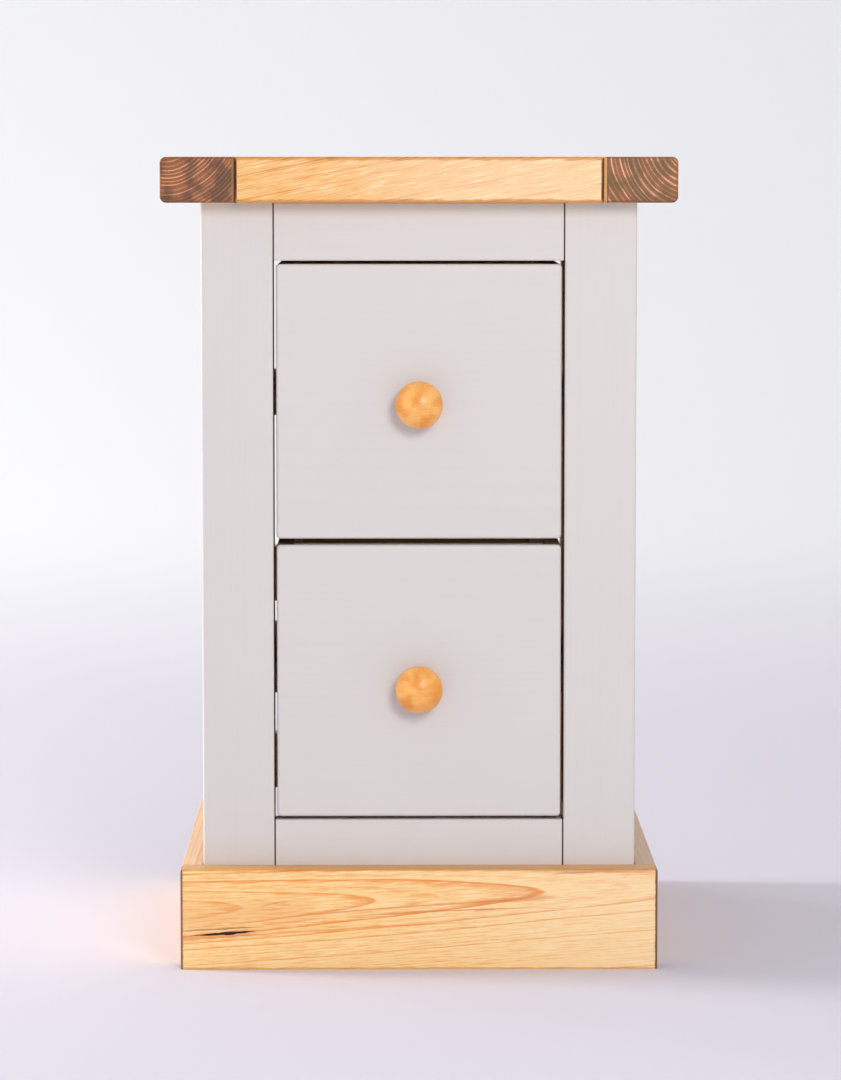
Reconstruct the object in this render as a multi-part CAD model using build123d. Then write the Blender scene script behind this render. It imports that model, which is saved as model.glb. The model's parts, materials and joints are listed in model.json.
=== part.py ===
from build123d import *
from math import atan2, degrees
import os

# A narrow bedside cabinet with two inset drawers. The carcass is painted pine, and the thick
# top, the plinth and the knobs are waxed wood.
# All sizes are millimetres. +Z is up, -Y is the front, and the origin is the bottom centre of
# the whole object with its drawers shut.

# Overall sizes
overall_height = 600.0
body_width = 321.0
body_depth = 356.0

# Top
top_thickness = 33.5
top_side_overhang = 28.5
top_front_overhang = 22.0
top_rear_overhang = 2.0
top_end_width = 55.0
top_board_count = 3
top_tongue_thickness = 10.0
top_tongue_length = 12.0
top_tongue_setback = 16.0
top_outer_round = 4.5
top_front_round = 2.0
top_seam_bevel = 1.2
top_board_bevel = 0.7

# Front frame
frame_thickness = 20.0
stile_width = 53.5
top_rail_height = 42.5
bottom_rail_height = 54.0
bottom_rail_reveal = 34.0
stile_round = 2.0
stile_opening_round = 2.5
frame_bevel = 0.7

# Rear frame, which has no panel
rear_frame_thickness = 20.0
rear_stile_width = 42.0
rear_rail_height = 45.0
rear_middle_rail_base = 237.0
rear_bottom_rail_base = 82.0

# Mortise and tenon joints of both frames
tenon_thickness = 8.0
tenon_length = 20.0
tenon_shoulder = 6.0

# Sides of tongued boards
side_thickness = 18.0
side_board_count = 3
side_tongue_thickness = 6.0
side_tongue_length = 6.0
side_bevel = 0.8
carcass_floor_gap = 4.0

# Plinth, a front board and two side boards
plinth_height = 75.0
plinth_front_thickness = 20.0
plinth_side_thickness = 15.5
plinth_side_gap = 0.75
plinth_round = 2.0
dowel_radius = 4.0
dowel_length = 30.0
dowel_edge_distance = 20.0

# Drawer runners and top cleats
runner_height = 19.0
runner_drop = 1.4
runner_in_groove = 6.5
cleat_width = 30.0
cleat_height = 25.0
top_screw_distance = 20.0

# Drawers
drawer_front_thickness = 20.0
drawer_gap_side = 1.75
drawer_gap_above = 2.5
drawer_gap_between = 4.7
drawer_gap_below = 2.4
drawer_front_round = 2.2
drawer_corner_round = 3.0
drawer_lip = 5.0
drawer_side_thickness = 13.2
drawer_groove_depth = 7.5
drawer_rear_clearance = 10.0
drawer_side_top_set = 0.5
drawer_side_bottom_set = 8.0
drawer_back_thickness = 13.0
drawer_back_housing = 5.0
drawer_back_inset = 8.0
drawer_back_top_set = 3.0
drawer_bottom_thickness = 5.0
drawer_bottom_lift = 9.0
drawer_bottom_groove = 6.0
drawer_edge_bevel = 1.0

# Knobs, each held by one screw from inside its drawer
knob_radius = 17.5
knob_projection = 28.0
knob_rim_distance = 15.0
knob_rim_round = 7.0
knob_back_angle = 50.0
knob_neck_radius = 8.5
knob_neck_length = 4.5
knob_foot_radius = 10.0
upper_knob_drop = 1.6
lower_knob_drop = 4.6

# Countersunk wood screws
screw_radius = 2.0
screw_head_radius = 4.0
screw_point_length = 4.0
screw_slot_length = 5.0
screw_slot_width = 0.9
screw_slot_depth = 1.1
frame_screw_length = 30.0
cleat_screw_length = 40.0
long_screw_length = 45.0
knob_screw_length = 34.0
counterbore_radius = 4.4
counterbore_depth = 10.0
small_screw_length = 20.0
plinth_screw_height = 40.0
rail_screw_spacing = 100.0
screw_end_distance = 55.0
bottom_screw_spacing = 110.0
side_screw_edge_distance = 40.0

# Clearances
glue_clearance = 0.1
joint_end_clearance = 0.5
screw_clearance = 0.1
runner_top_clearance = 0.3
runner_bottom_clearance = 0.7
drawer_stop_clearance = 0.5
panel_clearance = 0.15
cut_margin = 1.0
touch = 0.01

# Places worked out from the sizes above
overall_depth = knob_projection + body_depth + top_rear_overhang
front_y = -overall_depth / 2 + knob_projection
back_y = front_y + body_depth
frame_back_y = front_y + frame_thickness
rear_frame_y = back_y - rear_frame_thickness
body_half = body_width / 2
side_inner_x = body_half - side_thickness
side_middle_x = body_half - side_thickness / 2
opening_half = body_half - stile_width
rear_opening_half = body_half - rear_stile_width
top_half = body_half + top_side_overhang
top_seam_x = top_half - top_end_width
top_base = overall_height - top_thickness
top_front_y = front_y - top_front_overhang
top_rear_y = back_y + top_rear_overhang
opening_top = top_base - top_rail_height
opening_base = plinth_height + bottom_rail_reveal
plinth_half = body_half + plinth_side_gap + plinth_side_thickness
drawer_half = opening_half - drawer_gap_side
drawer_height = (opening_top - opening_base - drawer_gap_above - drawer_gap_between - drawer_gap_below) / 2
lower_drawer_base = opening_base + drawer_gap_below
upper_drawer_base = lower_drawer_base + drawer_height + drawer_gap_between
drawer_rear_y = rear_frame_y - drawer_rear_clearance
runner_inner_x = drawer_half - runner_in_groove
upper_runner_z = upper_drawer_base + drawer_height / 2 - runner_drop
lower_runner_z = lower_drawer_base + drawer_height / 2 - runner_drop
LEFT, RIGHT = -1, 1


def block(x_span, y_span, z_span):
    """A rectangular block between three pairs of coordinates, given in any order."""
    spans = [sorted(span) for span in (x_span, y_span, z_span)]
    sizes = [high - low for low, high in spans]
    middle = [(low + high) / 2 for low, high in spans]
    return Pos(*middle) * Box(*sizes)


def edges_along(part, axis, x=None, y=None, z=None):
    """Straight edges parallel to an axis whose middles have the given coordinates."""
    wanted = [(name, value) for name, value in (("X", x), ("Y", y), ("Z", z)) if value is not None]
    return part.edges().filter_by(axis).filter_by(
        lambda edge: all(abs(getattr(edge.center(), name) - value) < touch for name, value in wanted)
    )


def wood_screw(length):
    """A countersunk screw with its head's top at the origin and its point towards +Z."""
    neck = screw_head_radius - screw_radius
    profile = Polyline(
        (0, 0),
        (screw_head_radius, 0),
        (screw_radius, neck),
        (screw_radius, length - screw_point_length),
        (0, length),
        close=True,
    )
    body = revolve(Plane.XZ * make_face(profile), Axis.Z)
    slot = Box(screw_slot_length, screw_slot_width, 2 * screw_slot_depth)
    return body - slot - Rot(0, 0, 90) * slot


def screw_hole(length):
    """The cutter for a screw's hole, wider than the screw by its clearance, open above the head."""
    head = screw_head_radius + screw_clearance
    shank = screw_radius + screw_clearance
    profile = Polyline(
        (0, -cut_margin),
        (head, -cut_margin),
        (head, screw_clearance),
        (shank, head - shank + screw_clearance),
        (shank, length + screw_clearance),
        (0, length + screw_clearance),
        close=True,
    )
    return revolve(Plane.XZ * make_face(profile), Axis.Z)


def aimed(origin, direction):
    """The location whose +Z points in a direction from an origin."""
    return Plane(origin=origin, z_dir=direction).location


# Where each kind of screw enters, and the way that it points

def plinth_side_screws(side):
    """Screws from inside the cabinet through a side into its plinth board."""
    first, last = frame_back_y + screw_end_distance, rear_frame_y - screw_end_distance
    places = (first, (first + last) / 2, last)
    return [aimed((side * side_inner_x, y, plinth_screw_height), (side, 0, 0)) for y in places]


def plinth_stile_screw(side):
    """The screw from behind a front stile into the plinth's front board."""
    x = side * (opening_half + body_half) / 2
    return aimed((x, frame_back_y, plinth_screw_height), (0, -1, 0))


def plinth_rail_screws():
    """Two screws from behind the bottom rail into the plinth's front board."""
    rail_base = opening_base - bottom_rail_height
    z = (rail_base + plinth_height) / 2
    return [aimed((side * rail_screw_spacing / 2, frame_back_y, z), (0, -1, 0)) for side in (LEFT, RIGHT)]


def runner_screw_places(side, z):
    """Screws sunk in a runner's inner edge, through to the cabinet side."""
    first, last = frame_back_y + screw_end_distance, rear_frame_y - screw_end_distance
    x = side * (runner_inner_x + counterbore_depth)
    return [aimed((x, y, z), (side, 0, 0)) for y in (first, (first + last) / 2, last)]


def top_board_spans():
    """The front and rear Y of each board of the top."""
    step = (top_rear_y - top_front_y) / top_board_count
    return [(top_front_y + i * step, top_front_y + (i + 1) * step) for i in range(top_board_count)]


def top_joints():
    """The Y of each joint between the boards of the top."""
    return [rear for front, rear in top_board_spans()][:-1]


def top_screw_places(side):
    """Screws up through a cleat, one into each board of the top."""
    x = side * (side_inner_x - top_screw_distance)
    return [aimed((x, (y0 + y1) / 2, top_base - cleat_height), (0, 0, 1)) for y0, y1 in top_board_spans()]


def cleat_screw_places(side):
    """Screws through a cleat into the cabinet side, between the screws of the top."""
    x, z = side * (side_inner_x - cleat_width), top_base - cleat_height / 2
    return [aimed((x, y, z), (side, 0, 0)) for y in top_joints()]


def drilled(part, places, length):
    """A piece with the holes of the screws at some places cut out of it."""
    for place in places:
        part -= place * screw_hole(length)
    return part


# The top

def seam_edges(part, x):
    """The outside edges of a top piece's face at a seam, without those against the next board."""
    face = part.faces().filter_by(Axis.X).filter_by_position(Axis.X, x - touch, x + touch)
    return face.edges().filter_by(lambda edge: all(abs(edge.center().Y - y) > touch for y in top_joints()))


def top_board(index):
    """One board of the top, with a tongue at each end."""
    y_span = top_board_spans()[index]
    part = block((-top_seam_x, top_seam_x), y_span, (top_base, overall_height))
    joints = [y for y in y_span if min(abs(y - joint) for joint in top_joints()) < touch]
    for y in y_span:
        if y not in joints:
            part = fillet(edges_along(part, Axis.X, y=y), top_front_round)
    for side in (LEFT, RIGHT):
        part = chamfer(seam_edges(part, side * top_seam_x), top_seam_bevel)
    for y in joints:
        part = chamfer(edges_along(part, Axis.X, y=y), top_board_bevel)
    middle_z = top_base + top_thickness / 2
    half = top_tongue_thickness / 2
    reach = top_seam_x + top_tongue_length
    tongue_start = max(y_span[0], top_front_y + top_tongue_setback)
    tongue_end = min(y_span[1], top_rear_y - top_tongue_setback)
    part += block((-reach, reach), (tongue_start, tongue_end), (middle_z - half, middle_z + half))
    for side in (LEFT, RIGHT):
        part = drilled(part, [top_screw_places(side)[index]], long_screw_length)
    return part


def top_end(side):
    """A clamp board across the ends of the top's boards, grooved for their tongues."""
    seam = side * top_seam_x
    part = block((seam, side * top_half), (top_front_y, top_rear_y), (top_base, overall_height))
    part = fillet(edges_along(part, Axis.Y, x=side * top_half), top_outer_round)
    for y in (top_front_y, top_rear_y):
        face = part.faces().filter_by(Axis.Y).filter_by_position(Axis.Y, y - touch, y + touch)
        outside = face.edges().filter_by(lambda edge: abs(edge.center().X - seam) > touch)
        part = fillet(outside, top_front_round)
    part = chamfer(seam_edges(part, seam), top_seam_bevel)
    middle_z = top_base + top_thickness / 2
    half = top_tongue_thickness / 2 + glue_clearance
    reach = side * (top_seam_x + top_tongue_length + joint_end_clearance)
    start = top_front_y + top_tongue_setback - joint_end_clearance
    end = top_rear_y - top_tongue_setback + joint_end_clearance
    return part - block((seam, reach), (start, end), (middle_z - half, middle_z + half))


def top_cleat(side):
    """The batten inside a cabinet side that the top is screwed to."""
    part = block(
        (side * (side_inner_x - cleat_width), side * side_inner_x),
        (frame_back_y, rear_frame_y),
        (top_base - cleat_height, top_base),
    )
    part = drilled(part, top_screw_places(side), long_screw_length)
    return drilled(part, cleat_screw_places(side), cleat_screw_length)


# The two frames

def tenon(x_from, x_to, y_middle, z_span, extra=0.0):
    """A rail's tenon, or its mortise where it gets extra room."""
    low, high = z_span
    half = tenon_thickness / 2 + extra
    z_ends = (low + tenon_shoulder - extra, high - tenon_shoulder + extra)
    return block((x_from, x_to), (y_middle - half, y_middle + half), z_ends)


def rail(half_width, y_span, z_span):
    """A rail between two stiles, with a tenon at each end."""
    part = block((-half_width, half_width), y_span, z_span)
    part = chamfer(part.edges(), frame_bevel)
    reach = half_width + tenon_length
    return part + tenon(-reach, reach, sum(y_span) / 2, z_span)


def mortised(part, side, half_width, y_span, z_spans):
    """A stile with a mortise for each of its rails."""
    reach = half_width + tenon_length + joint_end_clearance
    for z_span in z_spans:
        part -= tenon(side * half_width, side * reach, sum(y_span) / 2, z_span, glue_clearance)
    return part


front_rail_spans = {
    "top": (opening_top, top_base),
    "bottom": (opening_base - bottom_rail_height, opening_base),
}
rear_rail_spans = {
    "top": (top_base - rear_rail_height, top_base),
    "middle": (rear_middle_rail_base, rear_middle_rail_base + rear_rail_height),
    "bottom": (rear_bottom_rail_base, rear_bottom_rail_base + rear_rail_height),
}


def side_groove(side, y_face, direction):
    """The groove in a stile that takes the tongue of a side board."""
    half = side_tongue_thickness / 2 + glue_clearance
    x = side * side_middle_x
    depth = side_tongue_length + joint_end_clearance
    return block((x - half, x + half), (y_face, y_face + direction * depth), (0, overall_height))


def eased_at_opening(part, side):
    """A front stile whose arris along the opening is rounded between the rails."""
    low_x, high_x = side * (opening_half - cut_margin), side * (opening_half + stile_opening_round)
    y_span = (front_y - cut_margin, front_y + stile_opening_round)
    corner = block((low_x, high_x), y_span, (opening_base, opening_top))
    middle_z, height = (opening_base + opening_top) / 2, opening_top - opening_base
    bar = Pos(high_x, front_y + stile_opening_round, middle_z) * Cylinder(stile_opening_round, height)
    return part - (corner - bar)


def front_stile(side):
    """A front upright, mortised for the rails and grooved behind for the cabinet side."""
    y_span = (front_y, frame_back_y)
    part = block((side * opening_half, side * body_half), y_span, (carcass_floor_gap, top_base))
    part = fillet(edges_along(part, Axis.Z, x=side * body_half, y=front_y), stile_round)
    part = chamfer(edges_along(part, Axis.Z, x=side * opening_half), frame_bevel)
    part = eased_at_opening(part, side)
    part = mortised(part, side, opening_half, y_span, front_rail_spans.values())
    part -= side_groove(side, frame_back_y, -1)
    return drilled(part, [plinth_stile_screw(side)], frame_screw_length)


def front_rail(name):
    """The top or bottom rail of the front frame."""
    part = rail(opening_half, (front_y, frame_back_y), front_rail_spans[name])
    if name == "bottom":
        part = drilled(part, plinth_rail_screws(), frame_screw_length)
    return part


def rear_stile(side):
    """A rear upright, mortised for the rear rails and grooved in front for the cabinet side."""
    y_span = (rear_frame_y, back_y)
    part = block((side * rear_opening_half, side * body_half), y_span, (carcass_floor_gap, top_base))
    part = fillet(edges_along(part, Axis.Z, x=side * body_half, y=back_y), stile_round)
    part = chamfer(edges_along(part, Axis.Z, x=side * rear_opening_half), frame_bevel)
    part = mortised(part, side, rear_opening_half, y_span, rear_rail_spans.values())
    return part - side_groove(side, rear_frame_y, 1)


def rear_rail(name):
    """One of the three rails of the rear frame."""
    return rail(rear_opening_half, (rear_frame_y, back_y), rear_rail_spans[name])


# The cabinet sides and what they carry

def side_board(side, index):
    """One upright board of a cabinet side, tongued in front and grooved or tongued behind."""
    step = (rear_frame_y - frame_back_y) / side_board_count
    y0 = frame_back_y + index * step
    y1 = y0 + step
    part = block((side * side_inner_x, side * body_half), (y0, y1), (carcass_floor_gap, top_base))
    for y in (y0, y1):
        part = chamfer(edges_along(part, Axis.Z, x=side * body_half, y=y), side_bevel)
    half = side_tongue_thickness / 2
    x_span = (side * side_middle_x - half, side * side_middle_x + half)
    z_span = (carcass_floor_gap, top_base)
    part += block(x_span, (y0 - side_tongue_length, y0), z_span)
    if index == side_board_count - 1:
        part += block(x_span, (y1, y1 + side_tongue_length), z_span)
    else:
        part -= side_groove(side, y1, -1)
    part = drilled(part, plinth_side_screws(side), frame_screw_length)
    part = drilled(part, cleat_screw_places(side), cleat_screw_length)
    for z in (upper_runner_z, lower_runner_z):
        part = drilled(part, runner_screw_places(side, z), long_screw_length)
    return part


def runner(side, z):
    """A batten on the cabinet side that a drawer hangs on by the groove in its own side."""
    part = block(
        (side * runner_inner_x, side * side_inner_x),
        (frame_back_y, rear_frame_y),
        (z - runner_height / 2, z + runner_height / 2),
    )
    for place in runner_screw_places(side, z):
        sink = Cylinder(counterbore_radius, counterbore_depth, align=(Align.CENTER, Align.CENTER, Align.MAX))
        part -= place * sink
    return drilled(part, runner_screw_places(side, z), long_screw_length)


# The plinth

def dowel_places():
    """Dowels that join the plinth's front board to its side boards."""
    x = plinth_half - plinth_side_thickness / 2
    heights = (dowel_edge_distance, plinth_height - dowel_edge_distance)
    return [Pos(side * x, front_y, z) * Rot(90, 0, 0) for side in (LEFT, RIGHT) for z in heights]


def dowelled(part):
    """A plinth board with its dowel holes."""
    length = dowel_length + 2 * joint_end_clearance
    for place in dowel_places():
        part -= place * Cylinder(dowel_radius + glue_clearance / 2, length)
    return part


def plinth_front():
    """The plinth's front board, which covers the ends of its side boards."""
    y0 = front_y - plinth_front_thickness
    part = block((-plinth_half, plinth_half), (y0, front_y), (0, plinth_height))
    for x in (-plinth_half, plinth_half):
        part = fillet(edges_along(part, Axis.Z, x=x, y=y0), plinth_round)
    top_edges = part.edges().filter_by(lambda edge: abs(edge.center().Z - plinth_height) < touch)
    outer = top_edges.filter_by(lambda edge: edge.center().Y < front_y - touch)
    part = fillet(outer, plinth_round)
    places = plinth_rail_screws() + [plinth_stile_screw(side) for side in (LEFT, RIGHT)]
    return dowelled(drilled(part, places, frame_screw_length))


def plinth_side(side):
    """A side board of the plinth."""
    inner = side * (body_half + plinth_side_gap)
    outer = side * plinth_half
    part = block((inner, outer), (front_y, back_y), (0, plinth_height))
    part = fillet(edges_along(part, Axis.Y, x=outer, z=plinth_height), plinth_round)
    return dowelled(drilled(part, plinth_side_screws(side), frame_screw_length))


def plinth_dowels():
    """The four dowels of the plinth."""
    return [place * Cylinder(dowel_radius, dowel_length) for place in dowel_places()]


# The drawers

def drawer_front(base, knob_z):
    """A drawer's painted front, rebated at its ends for the sides and grooved for the bottom."""
    y1 = front_y + drawer_front_thickness
    top = base + drawer_height
    part = block((-drawer_half, drawer_half), (front_y, y1), (base, top))
    part = fillet(part.edges().filter_by(Axis.Y), drawer_corner_round)
    part = fillet(part.edges().filter_by(lambda edge: edge.center().Y < front_y + touch), drawer_front_round)
    inner = drawer_half - drawer_side_thickness - glue_clearance
    rebate_y, rebate_z = (front_y + drawer_lip, y1), (base - cut_margin, top + cut_margin)
    for side in (LEFT, RIGHT):
        part -= block((side * inner, side * (drawer_half + cut_margin)), rebate_y, rebate_z)
    groove_base = base + drawer_side_bottom_set + drawer_bottom_lift - panel_clearance
    groove_top = groove_base + drawer_bottom_thickness + 2 * panel_clearance
    groove_depth = drawer_bottom_groove + joint_end_clearance
    part -= block((-inner, inner), (y1 - groove_depth, y1), (groove_base, groove_top))
    part = drilled(part, drawer_side_screws(base), frame_screw_length)
    return drilled(part, [knob_screw_place(knob_z)], knob_screw_length)


def drawer_side(base, side, runner_z):
    """A drawer side, with the runner's groove outside, and grooves inside for bottom and back."""
    y0 = front_y + drawer_lip
    low = base + drawer_side_bottom_set
    high = base + drawer_height - drawer_side_top_set
    outer = side * drawer_half
    inner = side * (drawer_half - drawer_side_thickness)
    part = block((inner, outer), (y0, drawer_rear_y), (low, high))
    part = chamfer(edges_along(part, Axis.Y, z=high), drawer_edge_bevel)
    slot_x = (side * (drawer_half - drawer_groove_depth), outer + side * cut_margin)
    slot_y = (frame_back_y - drawer_stop_clearance, drawer_rear_y + cut_margin)
    slot_z = (
        runner_z - runner_height / 2 - runner_bottom_clearance,
        runner_z + runner_height / 2 + runner_top_clearance,
    )
    part -= block(slot_x, slot_y, slot_z)
    groove_base = low + drawer_bottom_lift - panel_clearance
    groove_top = groove_base + drawer_bottom_thickness + 2 * panel_clearance
    reach = inner + side * (drawer_bottom_groove + joint_end_clearance)
    part -= block((inner, reach), (y0, drawer_rear_y), (groove_base, groove_top))
    back_front_y, back_rear_y = drawer_back_span()
    housing_x = (inner, inner + side * (drawer_back_housing + glue_clearance))
    housing_y = (back_front_y - glue_clearance, back_rear_y + glue_clearance)
    part -= block(housing_x, housing_y, (groove_top, high + cut_margin))
    return drilled(part, drawer_side_screws(base), frame_screw_length)


def drawer_side_screws(base):
    """Two screws through each side of a drawer into the ends of its front."""
    low = base + drawer_side_bottom_set + side_screw_edge_distance
    high = base + drawer_height - side_screw_edge_distance
    y = front_y + (drawer_lip + drawer_front_thickness) / 2
    return [aimed((side * drawer_half, y, z), (-side, 0, 0)) for side in (LEFT, RIGHT) for z in (low, high)]


def drawer_bottom_screws(base):
    """Two screws up through a drawer's bottom into its back."""
    y = sum(drawer_back_span()) / 2
    z = base + drawer_side_bottom_set + drawer_bottom_lift
    return [aimed((side * bottom_screw_spacing / 2, y, z), (0, 0, 1)) for side in (LEFT, RIGHT)]


def drawer_back_span():
    """The front and rear Y of a drawer's back."""
    rear = drawer_rear_y - drawer_back_inset
    return rear - drawer_back_thickness, rear


def drawer_back(base):
    """A drawer's back, housed in its sides and standing on its bottom."""
    low = base + drawer_side_bottom_set + drawer_bottom_lift + drawer_bottom_thickness + panel_clearance
    high = base + drawer_height - drawer_back_top_set
    reach = drawer_half - drawer_side_thickness + drawer_back_housing
    part = block((-reach, reach), drawer_back_span(), (low, high))
    part = chamfer(edges_along(part, Axis.X, z=high), drawer_edge_bevel)
    return drilled(part, drawer_bottom_screws(base), small_screw_length)


def drawer_bottom(base):
    """A drawer's thin bottom, in grooves in its front and sides."""
    low = base + drawer_side_bottom_set + drawer_bottom_lift
    reach = drawer_half - drawer_side_thickness + drawer_bottom_groove
    y0 = front_y + drawer_front_thickness - drawer_bottom_groove
    y1 = drawer_back_span()[1]
    part = block((-reach, reach), (y0, y1), (low, low + drawer_bottom_thickness))
    return drilled(part, drawer_bottom_screws(base), small_screw_length)


def knob_screw_place(z):
    """The screw from inside a drawer through its front into the knob."""
    return aimed((0, front_y + drawer_front_thickness, z), (0, -1, 0))


def knob(z):
    """A turned knob: a domed head with a rounded rim on a narrow neck."""
    rim_x = knob_radius - knob_rim_round
    dome_height = knob_projection - knob_rim_distance
    dome_radius = (rim_x**2 + dome_height**2 - knob_rim_round**2) / (2 * (dome_height - knob_rim_round))
    dome_y = dome_radius - knob_projection
    meet_angle = degrees(atan2(knob_rim_distance + dome_y, rim_x))
    dome = CenterArc((0, dome_y), dome_radius, -90, 90 - meet_angle)
    rim = CenterArc((rim_x, -knob_rim_distance), knob_rim_round, -meet_angle, meet_angle + knob_back_angle)
    back = Line(rim @ 1, (knob_neck_radius, -knob_neck_length))
    neck = Line(back @ 1, (knob_foot_radius, 0))
    foot = Line(neck @ 1, (0, 0))
    middle = Line(foot @ 1, dome @ 0)
    profile = make_face([dome, rim, back, neck, foot, middle])
    part = Pos(0, front_y, z) * revolve(profile, Axis.Y)
    bore_radius, bore_length = screw_radius + screw_clearance, knob_screw_length + screw_clearance
    bore = Cylinder(bore_radius, bore_length, align=(Align.CENTER, Align.CENTER, Align.MIN))
    return part - knob_screw_place(z) * bore


def placed_screws(places, length):
    """Identical screws at some places."""
    shape = wood_screw(length)
    return [place * shape for place in places]


def drawer_nodes(name, base, runner_z, knob_drop):
    """Every piece of one drawer, by node name."""
    knob_z = base + drawer_height / 2 - knob_drop
    return {
        f"{name}_drawer_front": drawer_front(base, knob_z),
        f"{name}_drawer_side_left": drawer_side(base, LEFT, runner_z),
        f"{name}_drawer_side_right": drawer_side(base, RIGHT, runner_z),
        f"{name}_drawer_back": drawer_back(base),
        f"{name}_drawer_bottom": drawer_bottom(base),
        f"{name}_drawer_knob": knob(knob_z),
        f"{name}_drawer_knob_screw": placed_screws([knob_screw_place(knob_z)], knob_screw_length),
        f"{name}_drawer_side_screws": placed_screws(drawer_side_screws(base), frame_screw_length),
        f"{name}_drawer_bottom_screws": placed_screws(drawer_bottom_screws(base), small_screw_length),
    }


def cabinet_nodes():
    """Every fixed piece of the cabinet, by node name."""
    nodes = {
        "front_top_rail": front_rail("top"),
        "front_bottom_rail": front_rail("bottom"),
        "plinth_front": plinth_front(),
        "plinth_dowels": plinth_dowels(),
    }
    for index, place in enumerate(("front", "middle", "rear")):
        nodes[f"top_board_{place}"] = top_board(index)
    for name in rear_rail_spans:
        nodes[f"rear_{name}_rail"] = rear_rail(name)
    plinth_places, top_places, cleat_places, runner_places = plinth_rail_screws(), [], [], []
    for side, hand in ((LEFT, "left"), (RIGHT, "right")):
        nodes[f"top_end_{hand}"] = top_end(side)
        nodes[f"top_cleat_{hand}"] = top_cleat(side)
        nodes[f"front_stile_{hand}"] = front_stile(side)
        nodes[f"rear_stile_{hand}"] = rear_stile(side)
        nodes[f"plinth_side_{hand}"] = plinth_side(side)
        for index, place in enumerate(("front", "middle", "rear")):
            nodes[f"side_board_{hand}_{place}"] = side_board(side, index)
        for z, drawer in ((upper_runner_z, "upper"), (lower_runner_z, "lower")):
            nodes[f"runner_{drawer}_{hand}"] = runner(side, z)
            runner_places += runner_screw_places(side, z)
        plinth_places += plinth_side_screws(side) + [plinth_stile_screw(side)]
        top_places += top_screw_places(side)
        cleat_places += cleat_screw_places(side)
    nodes["plinth_screws"] = placed_screws(plinth_places, frame_screw_length)
    nodes["cleat_screws"] = placed_screws(cleat_places, cleat_screw_length)
    nodes["top_screws"] = placed_screws(top_places, long_screw_length)
    nodes["runner_screws"] = placed_screws(runner_places, long_screw_length)
    return nodes


def main():
    """Writes one STEP file for each node."""
    nodes = cabinet_nodes()
    nodes.update(drawer_nodes("upper", upper_drawer_base, upper_runner_z, upper_knob_drop))
    nodes.update(drawer_nodes("lower", lower_drawer_base, lower_runner_z, lower_knob_drop))
    os.makedirs("parts", exist_ok=True)
    for name, shape in nodes.items():
        pieces = shape if isinstance(shape, list) else [shape]
        solids = [solid for piece in pieces for solid in piece.solids()]
        export_step(Compound(solids), f"parts/{name}.step")
    print(len(nodes), "nodes")


main()
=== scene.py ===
"""The looks of a narrow bedside cabinet with two drawers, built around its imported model.

The carcass is pine under satin grey paint. The top, the plinth and the knobs are honey-coloured
wood, and what the paint doesn't reach is raw pine. Lengths are metres unless a name ends in _mm.
A pair of numbers named a span says where a mask begins and where it is full.
"""

import json
import logging
import math
import random
from collections.abc import Iterator
from contextlib import contextmanager
from dataclasses import dataclass
from enum import Enum
from functools import partial
from typing import Any

import bmesh
import bpy
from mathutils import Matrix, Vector

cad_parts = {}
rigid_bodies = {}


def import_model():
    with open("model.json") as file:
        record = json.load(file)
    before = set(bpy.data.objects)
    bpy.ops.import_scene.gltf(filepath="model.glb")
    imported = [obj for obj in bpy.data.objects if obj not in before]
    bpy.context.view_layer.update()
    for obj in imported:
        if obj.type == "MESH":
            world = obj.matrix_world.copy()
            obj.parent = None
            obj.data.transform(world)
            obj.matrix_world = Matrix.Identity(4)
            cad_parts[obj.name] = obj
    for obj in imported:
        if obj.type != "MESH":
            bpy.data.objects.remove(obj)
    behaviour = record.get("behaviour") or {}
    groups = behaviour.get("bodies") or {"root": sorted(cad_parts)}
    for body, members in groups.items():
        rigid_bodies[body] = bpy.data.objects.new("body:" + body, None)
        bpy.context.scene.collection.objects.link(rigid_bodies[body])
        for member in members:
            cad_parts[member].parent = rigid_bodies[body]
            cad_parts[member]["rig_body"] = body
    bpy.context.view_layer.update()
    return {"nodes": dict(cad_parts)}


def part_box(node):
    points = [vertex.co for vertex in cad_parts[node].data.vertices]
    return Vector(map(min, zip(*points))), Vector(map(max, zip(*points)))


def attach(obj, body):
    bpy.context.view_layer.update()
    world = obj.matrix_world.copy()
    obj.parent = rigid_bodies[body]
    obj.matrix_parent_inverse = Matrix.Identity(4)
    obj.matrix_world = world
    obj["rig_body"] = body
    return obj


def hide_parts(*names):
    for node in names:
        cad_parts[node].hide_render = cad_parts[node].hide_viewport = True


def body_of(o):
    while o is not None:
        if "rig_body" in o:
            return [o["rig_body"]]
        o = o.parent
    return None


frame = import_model()

log = logging.getLogger("nightstand")

MM = 0.001
WELD_DISTANCE = 2e-6
# The share of a fastener's half length past which a point counts as part of its end
END_SHARE = 0.98
# Oil, wax, varnish and satin paint all bend light by about this much
FINISH_IOR = 1.5

Point = tuple[float, float, float]
Span = tuple[float, float]
Named = dict[str, Any]
Kind = tuple[str, Named]
Node = bpy.types.Node
Tree = bpy.types.NodeTree
Piece = bpy.types.Object
Material = bpy.types.Material

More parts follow.
